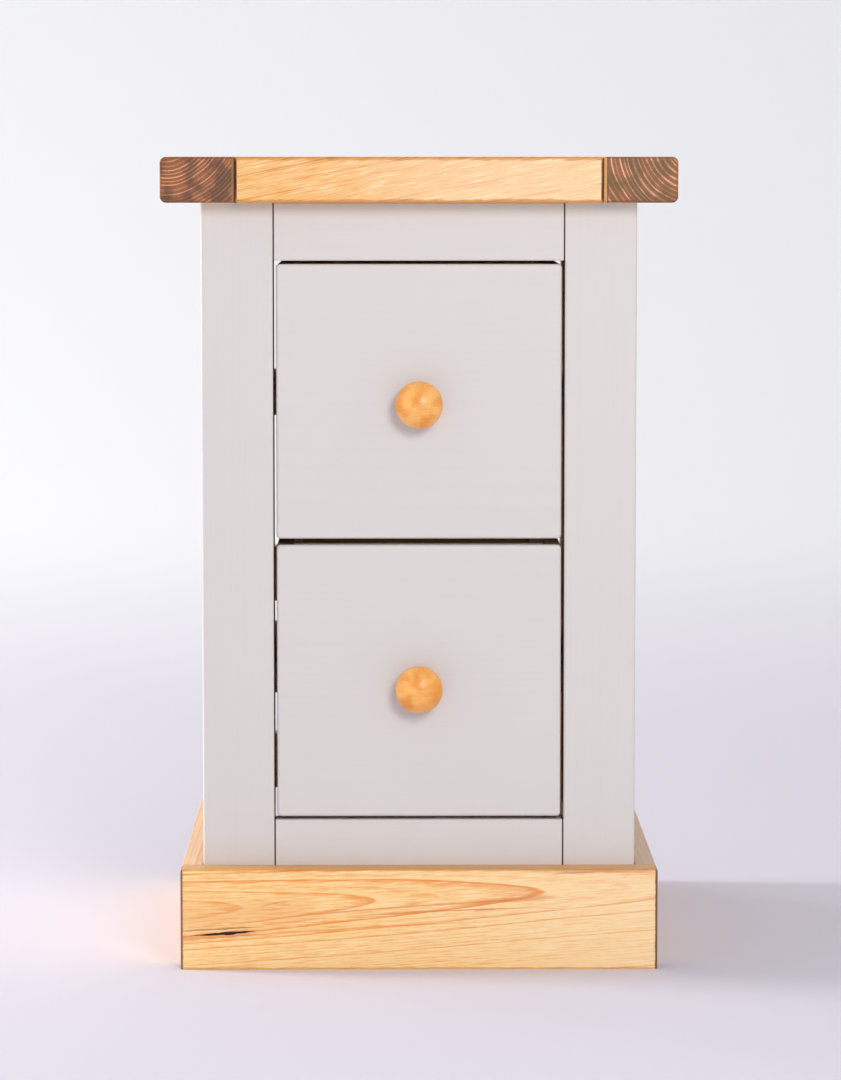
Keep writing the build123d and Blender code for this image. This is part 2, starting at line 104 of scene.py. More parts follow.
# What the patterns are made of: a node type with the settings that set it apart
PLUS, MINUS, TIMES, TIMES_PLUS, OVER, LEAST, MOST, UNSIGNED, SINE, COSINE, ARCTAN2 = (
    ("ShaderNodeMath", {"operation": operation})
    for operation in ("ADD", "SUBTRACT", "MULTIPLY", "MULTIPLY_ADD", "DIVIDE", "MINIMUM", "MAXIMUM",
                      "ABSOLUTE", "SINE", "COSINE", "ARCTAN2")
)
VECTOR_MINUS, VECTOR_TIMES, VECTOR_UNSIGNED, LENGTH = (
    ("ShaderNodeVectorMath", {"operation": operation})
    for operation in ("SUBTRACT", "MULTIPLY", "ABSOLUTE", "LENGTH")
)
NOISE = ("ShaderNodeTexNoise", {})
RANGE = ("ShaderNodeMapRange", {})
SMOOTH = ("ShaderNodeMapRange", {"interpolation_type": "SMOOTHSTEP"})
BLEND = ("ShaderNodeMix", {"data_type": "RGBA"})
JOIN_XYZ = ("ShaderNodeCombineXYZ", {})
SPLIT_XYZ = ("ShaderNodeSeparateXYZ", {})


class Grain(Enum):
    """The way that a board's fibres run, as a unit vector of the object's frame."""

    ACROSS = (1.0, 0.0, 0.0)
    DEEP = (0.0, 1.0, 0.0)
    UPRIGHT = (0.0, 0.0, 1.0)


class Side(Enum):
    """The two hands of the cabinet."""

    LEFT = "left"
    RIGHT = "right"


# Helpers for node trees and meshes

def linear(colour: str) -> tuple[float, float, float, float]:
    """Turns an sRGB colour into the linear one that shaders take.

    Args:
        colour: A hash and six hex digits.

    Returns:
        Red, green, blue and an alpha of one.
    """
    parts = [int(colour[i:i + 2], 16) / 255 for i in (1, 3, 5)]
    return *(part / 12.92 if part <= 0.04045 else ((part + 0.055) / 1.055) ** 2.4 for part in parts), 1.0


def metres(place_mm: Point) -> Point:
    """Turns a place in millimetres into metres."""
    return tuple(value * MM for value in place_mm)


def feed(tree: Tree, socket: bpy.types.NodeSocket, value: Any) -> None:
    """Links or sets one input.

    Args:
        tree: The tree that holds the input.
        socket: The input.
        value: A number, vector or colour, an output, a node whose first output is meant, or a list of such.
    """
    for item in value if isinstance(value, list) else [value]:
        if isinstance(item, Node):
            item = next(output for output in item.outputs if output.enabled)
        if isinstance(item, bpy.types.NodeSocket):
            tree.links.new(item, socket)
        else:
            socket.default_value = item


def add(tree: Tree, kind: str | Kind, *values: Any, named: Named | None = None, **settings: Any) -> Node:
    """Adds one node to a tree, with its settings and its links.

    Args:
        tree: The shader or geometry tree.
        kind: The node's type name, alone or with settings.
        *values: What feeds the node's inputs, in their order.
        named: What feeds its inputs by name.
        **settings: The node's other settings.

    Returns:
        The new node.
    """
    type_name, usual = (kind, {}) if isinstance(kind, str) else kind
    node = tree.nodes.new(type_name)
    for name, value in {**usual, **settings}.items():
        setattr(node, name, value)
    sockets = [socket for socket in node.inputs if socket.enabled]
    for socket, value in zip(sockets, values):
        feed(tree, socket, value)
    for name, value in (named or {}).items():
        feed(tree, node.inputs[name], value)
    return node


def depth_in_box(tree: Tree, place: Any, middle: Any, half: Any) -> bpy.types.bpy_prop_collection:
    """How far inside a box each point lies.

    Args:
        tree: The shader tree.
        place: The output that holds the point.
        middle: The box's middle.
        half: Half of the box's size.

    Returns:
        The depths below the nearest faces on X, Y and Z, which are negative outside.
    """
    offset = add(tree, VECTOR_UNSIGNED, add(tree, VECTOR_MINUS, place, middle))
    return add(tree, SPLIT_XYZ, add(tree, VECTOR_MINUS, half, offset)).outputs


class Group:
    """A node group under way, with its named inputs and outputs."""

    def __init__(self, name: str, kind: str, inputs: dict[str, str], outputs: dict[str, str]) -> None:
        """Makes the empty group.

        Args:
            name: The group's name.
            kind: ShaderNodeTree or GeometryNodeTree.
            inputs: The socket type of each input, by name.
            outputs: The socket type of each output, by name.
        """
        self.tree = bpy.data.node_groups.new(name, kind)
        for way, sockets in (("INPUT", inputs), ("OUTPUT", outputs)):
            for label, socket in sockets.items():
                self.tree.interface.new_socket(name=label, in_out=way, socket_type=f"NodeSocket{socket}")
        self.put = partial(add, self.tree)
        self.given, self.result = self.put("NodeGroupInput"), self.put("NodeGroupOutput")

    def read(self, name: str) -> bpy.types.NodeSocket:
        """The group's input of that name."""
        return self.given.outputs[name]


class Recipe:
    """A material under way, with the coordinates that its patterns read."""

    def __init__(self, name: str) -> None:
        """Starts the material with one Principled shader.

        Args:
            name: The material's name.
        """
        self.material = bpy.data.materials.new(name)
        self.material.use_nodes = True
        self.tree = self.material.node_tree
        self.put = partial(add, self.tree)
        coordinates = self.put("ShaderNodeTexCoord").outputs
        self.place, self.normal = coordinates["Object"], coordinates["Normal"]

    def finished(self, inputs: Named, bump: float, bump_mm: float, height: Any) -> Material:
        """Feeds the shader and hands the material over.

        Args:
            inputs: What feeds the shader's inputs, by name.
            bump: The strength of the relief.
            bump_mm: How high the relief stands.
            height: The output that holds the relief.

        Returns:
            The finished material.
        """
        named = {"Strength": bump, "Distance": bump_mm * MM, "Height": height}
        sockets = self.tree.nodes["Principled BSDF"].inputs
        for name, value in {**inputs, "Normal": self.put("ShaderNodeBump", named=named)}.items():
            feed(self.tree, sockets[name], value)
        return self.material


def dress(node: str, finish: Any) -> None:
    """Gives a CAD piece its finish.

    Args:
        node: The CAD node's name.
        finish: The finish, which makes a material of its own for the node.
    """
    material = finish.material(node)
    mesh = frame["nodes"][node].data
    if not mesh.materials:
        mesh.materials.append(material)
    for index in range(len(mesh.materials)):
        mesh.materials[index] = material
    log.info("%s has the finish %s", node, material.name)


def linked(name: str, data: bpy.types.ID) -> Piece:
    """Makes an object and links it to the scene.

    Args:
        name: The object's name.
        data: Its mesh, lamp or camera.

    Returns:
        The new object.
    """
    piece = bpy.data.objects.new(name, data)
    bpy.context.scene.collection.objects.link(piece)
    return piece


@contextmanager
def reshaping(mesh: bpy.types.Mesh) -> Iterator[bmesh.types.BMesh]:
    """Opens a mesh, lets it be changed and writes it back.

    Args:
        mesh: The mesh, which may be empty.

    Yields:
        Its form, open to changes.
    """
    form = bmesh.new()
    form.from_mesh(mesh)
    yield form
    form.to_mesh(mesh)
    form.free()


def merged_copy(node: str, name: str) -> Piece:
    """Makes a new piece whose mesh is a CAD node's, with its loose triangles joined.

    Args:
        node: The CAD node's name.
        name: The new piece's name.

    Returns:
        The new object.
    """
    mesh = frame["nodes"][node].data.copy()
    mesh.name = name
    mesh.materials.clear()
    with reshaping(mesh) as form:
        bmesh.ops.remove_doubles(form, verts=form.verts, dist=WELD_DISTANCE)
    return linked(name, mesh)


def applied(piece: Piece) -> None:
    """Turns a piece's modifiers into plain mesh, with its faces pointing outwards, and removes them.

    Args:
        piece: The piece.
    """
    bpy.context.view_layer.update()
    mesh = bpy.data.meshes.new_from_object(piece.evaluated_get(bpy.context.evaluated_depsgraph_get()))
    piece.modifiers.clear()
    piece.data = mesh
    mesh.name = piece.name
    with reshaping(mesh) as form:
        bmesh.ops.recalc_face_normals(form, faces=form.faces)


def install(piece: Piece, body: str, slot: str, *nodes: str) -> None:
    """Makes a new piece stand for CAD nodes.

    Args:
        piece: The finished piece.
        body: The CAD body that it moves with.
        slot: Not used.
        *nodes: The CAD nodes that it stands for.
    """
    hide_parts(*nodes)
    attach(piece, body)
    log.info("%s stands for %s", piece.name, ", ".join(nodes))


# Wood, as a solid pattern that runs through each board

class PineGroup(Group):
    """The node group that gives pine its year rings, fibres, resin flecks and end grain.

    A size in millimetres is a feature's width across the fibres and its length along them.
    """

    NUMBERS = ("ring_mm", "waviness_mm", "late", "fibres", "flecks", "arcs", "pores", "arris")
    COLOURS = ("early_colour", "late_colour", "resin_colour", "pale_colour", "end_colour", "patch_colour",
               "arc_colour", "arris_colour")
    VECTORS = ("place", "normal", "pith", "turn", "fibre_axis", "box_middle", "box_half")
    INPUTS = {
        **dict.fromkeys(VECTORS, "Vector"),
        **dict.fromkeys((*NUMBERS, "pale_start", "pale_end", "arris_width"), "Float"),
        **dict.fromkeys(COLOURS, "Color"),
    }
    OUTPUTS = {"Color": "Color", **dict.fromkeys(("Height", "Rings", "Fibres", "End", "Arris"), "Float")}
    PORE_COLOUR = "#2A1A12"

    FIBRE_MM, GRIT_MM, FLECK_MM = (0.85, 38.0), (0.8, 30.0), (0.9, 9.0)
    SLOW_BEND_MM, QUICK_BEND_MM, QUICK_BEND_SHARE = (38.0, 300.0), (7.0, 70.0), 0.13
    BROAD_TONE_MM, PATCH_MM, RAGGED_MM = (24.0, 160.0), (16.0, 200.0), (3.0, 14.0)
    # How unevenly the years grew
    UNEVEN_SCALE, UNEVEN_MM = 0.07, 9.0
    # Shares of a ring
    LATE_SPAN, LATE_END_SPAN = (0.28, 0.88), (1.0, 0.91)
    LINE_SPAN, LINE_END_SPAN = (0.78, 0.90), (1.0, 0.94)
    ARC_SPAN, ARC_END_SPAN = (0.50, 0.72), (0.98, 0.84)
    # Shares of a random draw for each year or of a noise
    DARK_YEAR_SPAN, RESIN_YEAR_SPAN = (0.55, 1.0), (0.62, 0.95)
    STREAK_SPAN, BLEACHED_SPAN, BROAD_TONE_SPAN = (0.34, 0.72), (0.44, 0.28), (0.3, 0.75)
    FLECK_SPAN, PATCH_SPAN, PORE_SPAN = (0.70, 0.78), (0.38, 0.62), (0.46, 0.32)
    ACROSS_SPAN, EDGE_SPAN = (0.2, 0.5), (1.0, 0.55)
    # How much each pattern tells
    DARK_YEAR_TONE, BROAD_TONE, BLEACHED_TONE = 0.22, 0.22, 0.42
    EDGE_LATE, END_EDGE, DROWNED_ARC = 0.55, 0.8, -0.75
    FIBRE_RELIEF, LATE_RELIEF = 0.09, 0.05
    # A factor and an addend that spread a draw or a noise
    LATE_SPREAD, ARC_SPREAD, GRIT_SPREAD, RAGGED_SPREAD = (0.8, 0.3), (0.9, 0.25), (1.6, 0.15), (1.5, 0.25)

    def __init__(self) -> None:
        """Builds the group."""
        super().__init__("solid_pine", "ShaderNodeTree", self.INPUTS, self.OUTPUTS)
        put, read = self.put, self.read
        named = {"Vector": read("place"), "Location": read("pith"), "Rotation": read("turn"),
                 "Scale": (MM, MM, MM)}
        # Millimetres in the log's own frame, with its pith on the Z axis
        self.in_log = put("ShaderNodeMapping", named=named, vector_type="TEXTURE")
        self.fraction, self.draw = self.rings()
        self.fibres = self.stretched(self.FIBRE_MM, Detail=3.0, Roughness=0.6)
        self.late = self.late_wood()
        self.edge = self.arris()
        facing = put("ShaderNodeVectorMath", read("normal"), read("fibre_axis"), operation="DOT_PRODUCT")
        # One where the surface cuts across the fibres, as rounded ends also do
        end = put(SMOOTH, put(UNSIGNED, facing), *self.ACROSS_SPAN)
        late_relief = put(TIMES, self.late, self.LATE_RELIEF)
        results = {
            "Color": put(BLEND, end, self.long_grain(), self.end_grain()),
            "Height": put(TIMES_PLUS, self.fibres, self.FIBRE_RELIEF, late_relief),
            "Rings": self.late,
            "Fibres": self.fibres,
            "End": end,
            "Arris": self.edge,
        }
        for name, value in results.items():
            feed(self.tree, self.result.inputs[name], value)

    def stretched(self, size_mm: Span, **named: float) -> Node:
        """Noise whose features are long along the fibres.

        Args:
            size_mm: A feature's width and length.
            **named: The noise's own inputs, by name.

        Returns:
            The noise node, whose first output lies between 0 and 1.
        """
        across, along = 1 / size_mm[0], 1 / size_mm[1]
        scaled = self.put(VECTOR_TIMES, self.in_log, (across, across, along))
        return self.put(NOISE, named={"Vector": scaled, "Scale": 1.0, **named})

    def rings(self) -> tuple[Node, Node]:
        """Counts the rings outwards from the pith.

        Returns:
            How far each point is through its year's ring, and a random number for each ring.
        """
        put, waviness = self.put, self.read("waviness_mm")
        x, y, _ = put(SPLIT_XYZ, self.in_log).outputs
        radius = put(LENGTH, put(JOIN_XYZ, x, y))
        slow = put(MINUS, self.stretched(self.SLOW_BEND_MM, Detail=2.0, Roughness=0.45), 0.5)
        quick = put(MINUS, self.stretched(self.QUICK_BEND_MM, Detail=2.0, Roughness=0.5), 0.5)
        bent = put(TIMES_PLUS, slow, waviness, radius)
        bent = put(TIMES_PLUS, quick, put(TIMES, waviness, self.QUICK_BEND_SHARE), bent)
        named = {"W": bent, "Scale": self.UNEVEN_SCALE, "Detail": 1.0}
        uneven = put(NOISE, named=named, noise_dimensions="1D")
        count = put(OVER, put(TIMES_PLUS, uneven, self.UNEVEN_MM, bent), self.read("ring_mm"))
        whole = put("ShaderNodeMath", count, operation="FLOOR")
        draw = put("ShaderNodeTexWhiteNoise", named={"W": whole}, noise_dimensions="1D")
        return put("ShaderNodeMath", count, operation="FRACT"), draw

    def in_ring(self, rise: Span, fall: Span) -> Node:
        """One in a stretch of each ring, between the span where it starts and the one where it ends."""
        return self.put(TIMES, self.put(SMOOTH, self.fraction, *rise), self.put(SMOOTH, self.fraction, *fall))

    def late_wood(self) -> Node:
        """The dark part of each ring, which builds up slowly and ends at once."""
        late = self.in_ring(self.LATE_SPAN, self.LATE_END_SPAN)
        return self.put(TIMES, late, self.put(TIMES_PLUS, self.draw, *self.LATE_SPREAD))

    def long_grain(self) -> Node:
        """Colours a face cut along the fibres, out to its edges.

        Returns:
            The node whose first output is the colour.
        """
        put, read = self.put, self.read
        streak = put(MINUS, put(SMOOTH, self.fibres, *self.STREAK_SPAN), 0.5)
        amount = put(TIMES, self.late, read("late"))
        # Some years grew darker than others as a whole
        amount = put(TIMES_PLUS, put(SMOOTH, self.draw, *self.DARK_YEAR_SPAN), self.DARK_YEAR_TONE, amount)
        amount = put(TIMES_PLUS, streak, read("fibres"), amount, use_clamp=True)
        colour = put(BLEND, amount, read("early_colour"), read("late_colour"))
        broad = put(SMOOTH, self.stretched(self.BROAD_TONE_MM, Detail=2.0), *self.BROAD_TONE_SPAN)
        broad = put(TIMES, broad, self.BROAD_TONE)
        colour = put(BLEND, broad, colour, read("late_colour"), blend_type="SOFT_LIGHT")
        # The wood is bleached in thin streaks, and towards one end of the board
        bleached = put(TIMES, put(SMOOTH, self.fibres, *self.BLEACHED_SPAN), read("fibres"))
        x, _, _ = put(SPLIT_XYZ, read("place")).outputs
        pale = put(SMOOTH, x, read("pale_start"), read("pale_end"))
        pale = put(TIMES_PLUS, pale, self.BLEACHED_TONE, bleached, use_clamp=True)
        colour = put(BLEND, pale, colour, read("pale_colour"))
        # A thin reddish line closes the darkest years
        line = self.in_ring(self.LINE_SPAN, self.LINE_END_SPAN)
        line = put(TIMES, put(TIMES, line, put(SMOOTH, self.draw, *self.RESIN_YEAR_SPAN)), read("late"))
        colour = put(BLEND, line, colour, read("resin_colour"))
        fleck = put(SMOOTH, self.stretched(self.FLECK_MM, Detail=1.0), *self.FLECK_SPAN)
        colour = put(BLEND, put(TIMES, fleck, read("flecks")), colour, read("end_colour"))
        rim = put(BLEND, put(TIMES, self.late, self.EDGE_LATE), read("arris_colour"), read("end_colour"))
        return put(BLEND, self.edge, colour, rim)

    def end_grain(self) -> Node:
        """Colours a sawn end, where the soft early wood drinks the most finish.

        Returns:
            The node whose first output is the colour.
        """
        put, read = self.put, self.read
        grit = self.stretched(self.GRIT_MM, Detail=2.0, Roughness=0.7)
        arc = self.in_ring(self.ARC_SPAN, self.ARC_END_SPAN)
        arc = put(TIMES, arc, put(TIMES_PLUS, self.draw, *self.ARC_SPREAD))
        arc = put(TIMES, arc, put(TIMES_PLUS, grit, *self.GRIT_SPREAD))
        patch = put(SMOOTH, self.stretched(self.PATCH_MM, Detail=2.0), *self.PATCH_SPAN)
        # Where the wood is darkest the arcs all but drown in the finish
        arc = put(TIMES, arc, put(TIMES_PLUS, patch, self.DROWNED_ARC, 1.0))
        arc = put(TIMES, arc, read("arcs"), use_clamp=True)
        colour = put(BLEND, patch, read("end_colour"), read("patch_colour"))
        colour = put(BLEND, arc, colour, read("arc_colour"))
        pores = put(TIMES, put(SMOOTH, grit, *self.PORE_SPAN), read("pores"))
        colour = put(BLEND, pores, colour, linear(self.PORE_COLOUR))
        return put(BLEND, put(TIMES, self.edge, self.END_EDGE), colour, read("arris_colour"))

    def arris(self) -> Node:
        """Marks the board's edges, fading inwards along a ragged line.

        Returns:
            The node whose first output is the mask.
        """
        put, read = self.put, self.read
        x, y, z = depth_in_box(self.tree, read("place"), read("box_middle"), read("box_half"))
        second = put(MOST, put(LEAST, x, y), put(LEAST, put(MOST, x, y), z))
        ragged = put(TIMES_PLUS, self.stretched(self.RAGGED_MM, Detail=2.0), *self.RAGGED_SPREAD)
        share = put(OVER, second, put(TIMES, read("arris_width"), ragged))
        return put(TIMES, put(SMOOTH, share, *self.EDGE_SPAN), read("arris"))


pine_group = PineGroup()


@dataclass(frozen=True)
class Pine:
    """Sawn and sanded pine under oil or wax: warm rings, fine fibres, and ends that drink the finish."""

    name: str
    grain: Grain
    pith_mm: Point
    lean: tuple[float, float] = (0.0, 0.0)
    ring_mm: float = 3.0
    waviness_mm: float = 5.0
    late: float = 0.75
    fibres: float = 0.35
    flecks: float = 0.25
    early_colour: str = "#FFD89B"
    late_colour: str = "#F5A04A"
    resin_colour: str = "#D27A3C"
    pale_colour: str = "#FFE6C2"
    pale_span_mm: Span = (-60.0, 190.0)
    end_colour: str = "#8A5630"
    patch_colour: str = "#5E3A26"
    arc_colour: str = "#D8935E"
    arcs: float = 0.5
    pores: float = 0.5
    arris_colour: str = "#D08A3A"
    arris: float = 0.6
    arris_mm: float = 2.2
    roughness: float = 0.42
    fibre_roughness: float = 0.16
    end_roughness: float = 0.12
    bump: float = 0.6
    coat: float = 0.15
    coat_roughness: float = 0.3

    def turn(self) -> tuple[Point, Point]:
        """Works out how the fibres lie, which lean by some degrees towards each of the next two axes.

        Returns:
            The Euler angles that bring the local Z axis onto the fibres, and the fibres' direction.
        """
        along = Vector(self.grain.value)
        index = list(self.grain.value).index(1.0)
        for step, degrees in enumerate(self.lean, 1):
            along[(index + step) % 3] = math.tan(math.radians(degrees))
        along.normalize()
        return tuple(along.to_track_quat("Z", "Y").to_euler()), tuple(along)

    def pattern(self, recipe: Recipe, board: str) -> bpy.types.bpy_prop_collection:
        """Adds the board's pattern to a material.

        Args:
            recipe: The material under way.
            board: The CAD node whose box gives the edges.

        Returns:
            The outputs of the pattern, by name.
        """
        turn, fibre_axis = self.turn()
        low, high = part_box(board)
        named = {
            **{name: getattr(self, name) for name in PineGroup.NUMBERS},
            **{name: linear(getattr(self, name)) for name in PineGroup.COLOURS},
            "place": recipe.place,
            "normal": recipe.normal,
            "pith": metres(self.pith_mm),
            "turn": turn,
            "fibre_axis": fibre_axis,
            "pale_start": self.pale_span_mm[0] * MM,
            "pale_end": self.pale_span_mm[1] * MM,
            "arris_width": self.arris_mm * MM,
            "box_middle": (low + high) / 2,
            "box_half": (high - low) / 2,
        }
        return recipe.put("ShaderNodeGroup", named=named, node_tree=pine_group.tree).outputs

    def coloured(self, recipe: Recipe, board: str, colour: Any) -> Any:
        """The board's colour with what lies over the wood, which is nothing on clean pine."""
        return colour

    def material(self, board: str) -> Material:
        """Makes the material of one board.

        Args:
            board: The CAD node's name.

        Returns:
            The material.
        """
        recipe = Recipe(f"{self.name}.{board}")
        pattern = self.pattern(recipe, board)
        least = self.roughness - self.fibre_roughness / 2
        rough = recipe.put(TIMES_PLUS, pattern["Fibres"], self.fibre_roughness, least)
        inputs = {
            "Base Color": self.coloured(recipe, board, pattern["Color"]),
            "Roughness": recipe.put(TIMES_PLUS, pattern["End"], self.end_roughness, rough),
            "IOR": FINISH_IOR,
            "Coat Weight": self.coat,
            "Coat Roughness": self.coat_roughness,
        }
        return recipe.finished(inputs, self.bump, 1.0, pattern["Height"])


# What sets pine apart that never met wax: paler, with ends that stay light, and dull where it is open
UNDER_PAINT: Named = {
    "early_colour": "#F0D2A4",
    "late_colour": "#DDAA6C",
    "resin_colour": "#BE7E48",
    "end_colour": "#EDBD8C",
    "patch_colour": "#D9A06C",
    "arc_colour": "#B57C4A",
    "arcs": 0.6,
    "pores": 0.15,
}
RAW: Named = {**UNDER_PAINT, "arris": 0.15, "roughness": 0.68, "coat": 0.0}


@dataclass(frozen=True)
class Stain:
    """A streak of resin on a front face, between two points given as X and Z in millimetres."""

    start: tuple[float, float]
    end: tuple[float, float]
    half_mm: float
    strength: float
    colour: str = "#C4713A"
    bow_mm: float = 0.8
    ragged_mm: Point = (9.0, 9.0, 1.2)
    width_spread: tuple[float, float] = (1.8, 0.15)
    edge_span: Span = (1.0, 0.2)
    start_span: Span = (0.0, 0.2)
    end_span: Span = (1.0, 0.75)

    def mask(self, recipe: Recipe) -> Node:
        """Where the streak lies.

        Args:
            recipe: The material under way.

        Returns:
            The node whose first output is the mask.
        """
        put, place = recipe.put, recipe.place
        (x0, z0), (x1, z1) = self.start, self.end
        x, _, z = put(SPLIT_XYZ, place).outputs
        share = put(RANGE, x, x0 * MM, x1 * MM)
        middle = put(TIMES_PLUS, share, (z1 - z0) * MM, z0 * MM)
        middle = put(TIMES_PLUS, put(SINE, put(TIMES, share, math.pi)), self.bow_mm * MM, middle)
        scaled = put(VECTOR_TIMES, place, tuple(1 / (size * MM) for size in self.ragged_mm))
        ragged = put(NOISE, named={"Vector": scaled, "Scale": 1.0, "Detail": 2.0})
        width = put(TIMES_PLUS, ragged, *(factor * self.half_mm * MM for factor in self.width_spread))
        away = put(OVER, put(UNSIGNED, put(MINUS, z, middle)), width)
        mask = put(TIMES, put(SMOOTH, away, *self.edge_span), put(SMOOTH, share, *self.start_span))
        return put(TIMES, put(TIMES, mask, put(SMOOTH, share, *self.end_span)), self.strength)


@dataclass(frozen=True)
class Band:
    """A ragged band of another tone across a board, between two places on one axis, in millimetres."""

    axis: int
    low_mm: float
    high_mm: float
    colour: str
    strength: float
    ragged_mm: float = 0.5
    ragged_scale: float = 420.0
    blur_mm: float = 0.2

    def mask(self, recipe: Recipe) -> Node:
        """Where the band lies.

        Args:
            recipe: The material under way.

        Returns:
            The node whose first output is the mask.
        """
        put, blur = recipe.put, self.blur_mm * MM
        middle = (self.low_mm + self.high_mm) / 2 * MM
        half = (self.high_mm - self.low_mm) / 2 * MM
        noise = put(NOISE, named={"Vector": recipe.place, "Scale": self.ragged_scale, "Detail": 2.0})
        ragged = put(TIMES_PLUS, put(MINUS, noise, 0.5), 2.0 * self.ragged_mm * MM, half)
        along = put(SPLIT_XYZ, recipe.place).outputs[self.axis]
        inside = put(MINUS, ragged, put(UNSIGNED, put(MINUS, along, middle)))
        return put(TIMES, put(SMOOTH, inside, -blur, blur), self.strength)


@dataclass(frozen=True)
class Bark:
    """Dark bark that lines whatever is carved below the face, inside a box given in millimetres, darkening
    with depth, which is partly painted shade in the hollow.
    """

    low_mm: Point
    high_mm: Point
    colour: str = "#24130F"
    rim_colour: str = "#7E3F22"
    rim_mm: float = 0.1
    depth_mm: float = 0.5
    skin_mm: float = 0.02
    blur_mm: float = 0.1

    def over(self, recipe: Recipe, board: str, colour: Any) -> Node:
        """Lays the bark, with its painted shade, over a colour.

        Args:
            recipe: The material under way.
            board: The CAD node whose box gives the face.
            colour: The output that holds the colour of the wood.

        Returns:
            The node whose first output is the colour with its bark.
        """
        put, place = recipe.put, recipe.place
        middle = tuple((low + high) / 2 * MM for low, high in zip(self.low_mm, self.high_mm))
        half = tuple((high - low) / 2 * MM for low, high in zip(self.low_mm, self.high_mm))
        x, y, z = depth_in_box(recipe.tree, place, middle, half)
        inside = put(SMOOTH, put(LEAST, put(LEAST, x, y), z), 0.0, self.blur_mm * MM)
        depth = put(MINUS, put(SPLIT_XYZ, place).outputs["Y"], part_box(board)[0].y)
        # A reddish rim and then the dark core deeper in: bark colour, darkened with depth as painted shade
        for shade, start, full in ((self.rim_colour, self.skin_mm, self.rim_mm),
                                   (self.colour, self.rim_mm, self.depth_mm)):
            mask = put(TIMES, inside, put(SMOOTH, depth, start * MM, full * MM))
            colour = put(BLEND, mask, colour, linear(shade))
        return colour


@dataclass(frozen=True)
class FlawedPine(Pine):
    """Pine with resin streaks, darker edges, bands of painted shade, and bark in the hollows carved in its
    front, darkened with depth as painted shade.
    """

    marks: tuple[Stain | Band, ...] = ()
    bark: Bark | None = None

    def coloured(self, recipe: Recipe, board: str, colour: Any) -> Any:
        """The board's colour with its marks and its bark.

        Args:
            recipe: The material under way.
            board: The CAD node's name.
            colour: The output that holds the colour of the wood.

        Returns:
            The output or node that holds the colour with all of them.
        """
        for mark in self.marks:
            colour = recipe.put(BLEND, mark.mask(recipe), colour, linear(mark.colour))
        return self.bark.over(recipe, board, colour) if self.bark else colour


@dataclass(frozen=True)
class Plywood(Pine):
    """Thin rotary-cut plywood, unfinished: a broad pale figure on its faces and dark plies on its edges."""

    ply_count: int = 3
    edge_colour: str = "#8C6A48"
    edge_span: Span = (0.5, 0.3)
    ply_tones: tuple[float, float] = (0.6, 0.2)

    def coloured(self, recipe: Recipe, board: str, colour: Any) -> Node:
        """The panel's colour with the plies on its edges.

        Args:
            recipe: The material under way.
            board: The CAD node whose box gives the faces.
            colour: The output that holds the colour of the wood.

        Returns:
            The node whose first output is the colour with its plies.
        """
        put = recipe.put
        low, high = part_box(board)
        height = put(SPLIT_XYZ, recipe.place).outputs["Z"]
        share = put(RANGE, height, low.z, high.z, 0.0, float(self.ply_count))
        pair = put("ShaderNodeMath", share, 2.0, operation="MODULO")
        inner = put("ShaderNodeMath", pair, 1.0, operation="GREATER_THAN")
        upright = put(UNSIGNED, put(SPLIT_XYZ, recipe.normal).outputs["Z"])
        dark = put(TIMES, put(SMOOTH, upright, *self.edge_span), put(TIMES_PLUS, inner, *self.ply_tones))
        return put(BLEND, dark, colour, linear(self.edge_colour))


@dataclass(frozen=True)
class Seam:
    """A joint between painted boards: the axis that it crosses, and its place on that axis in metres."""

    axis: int
    place: float


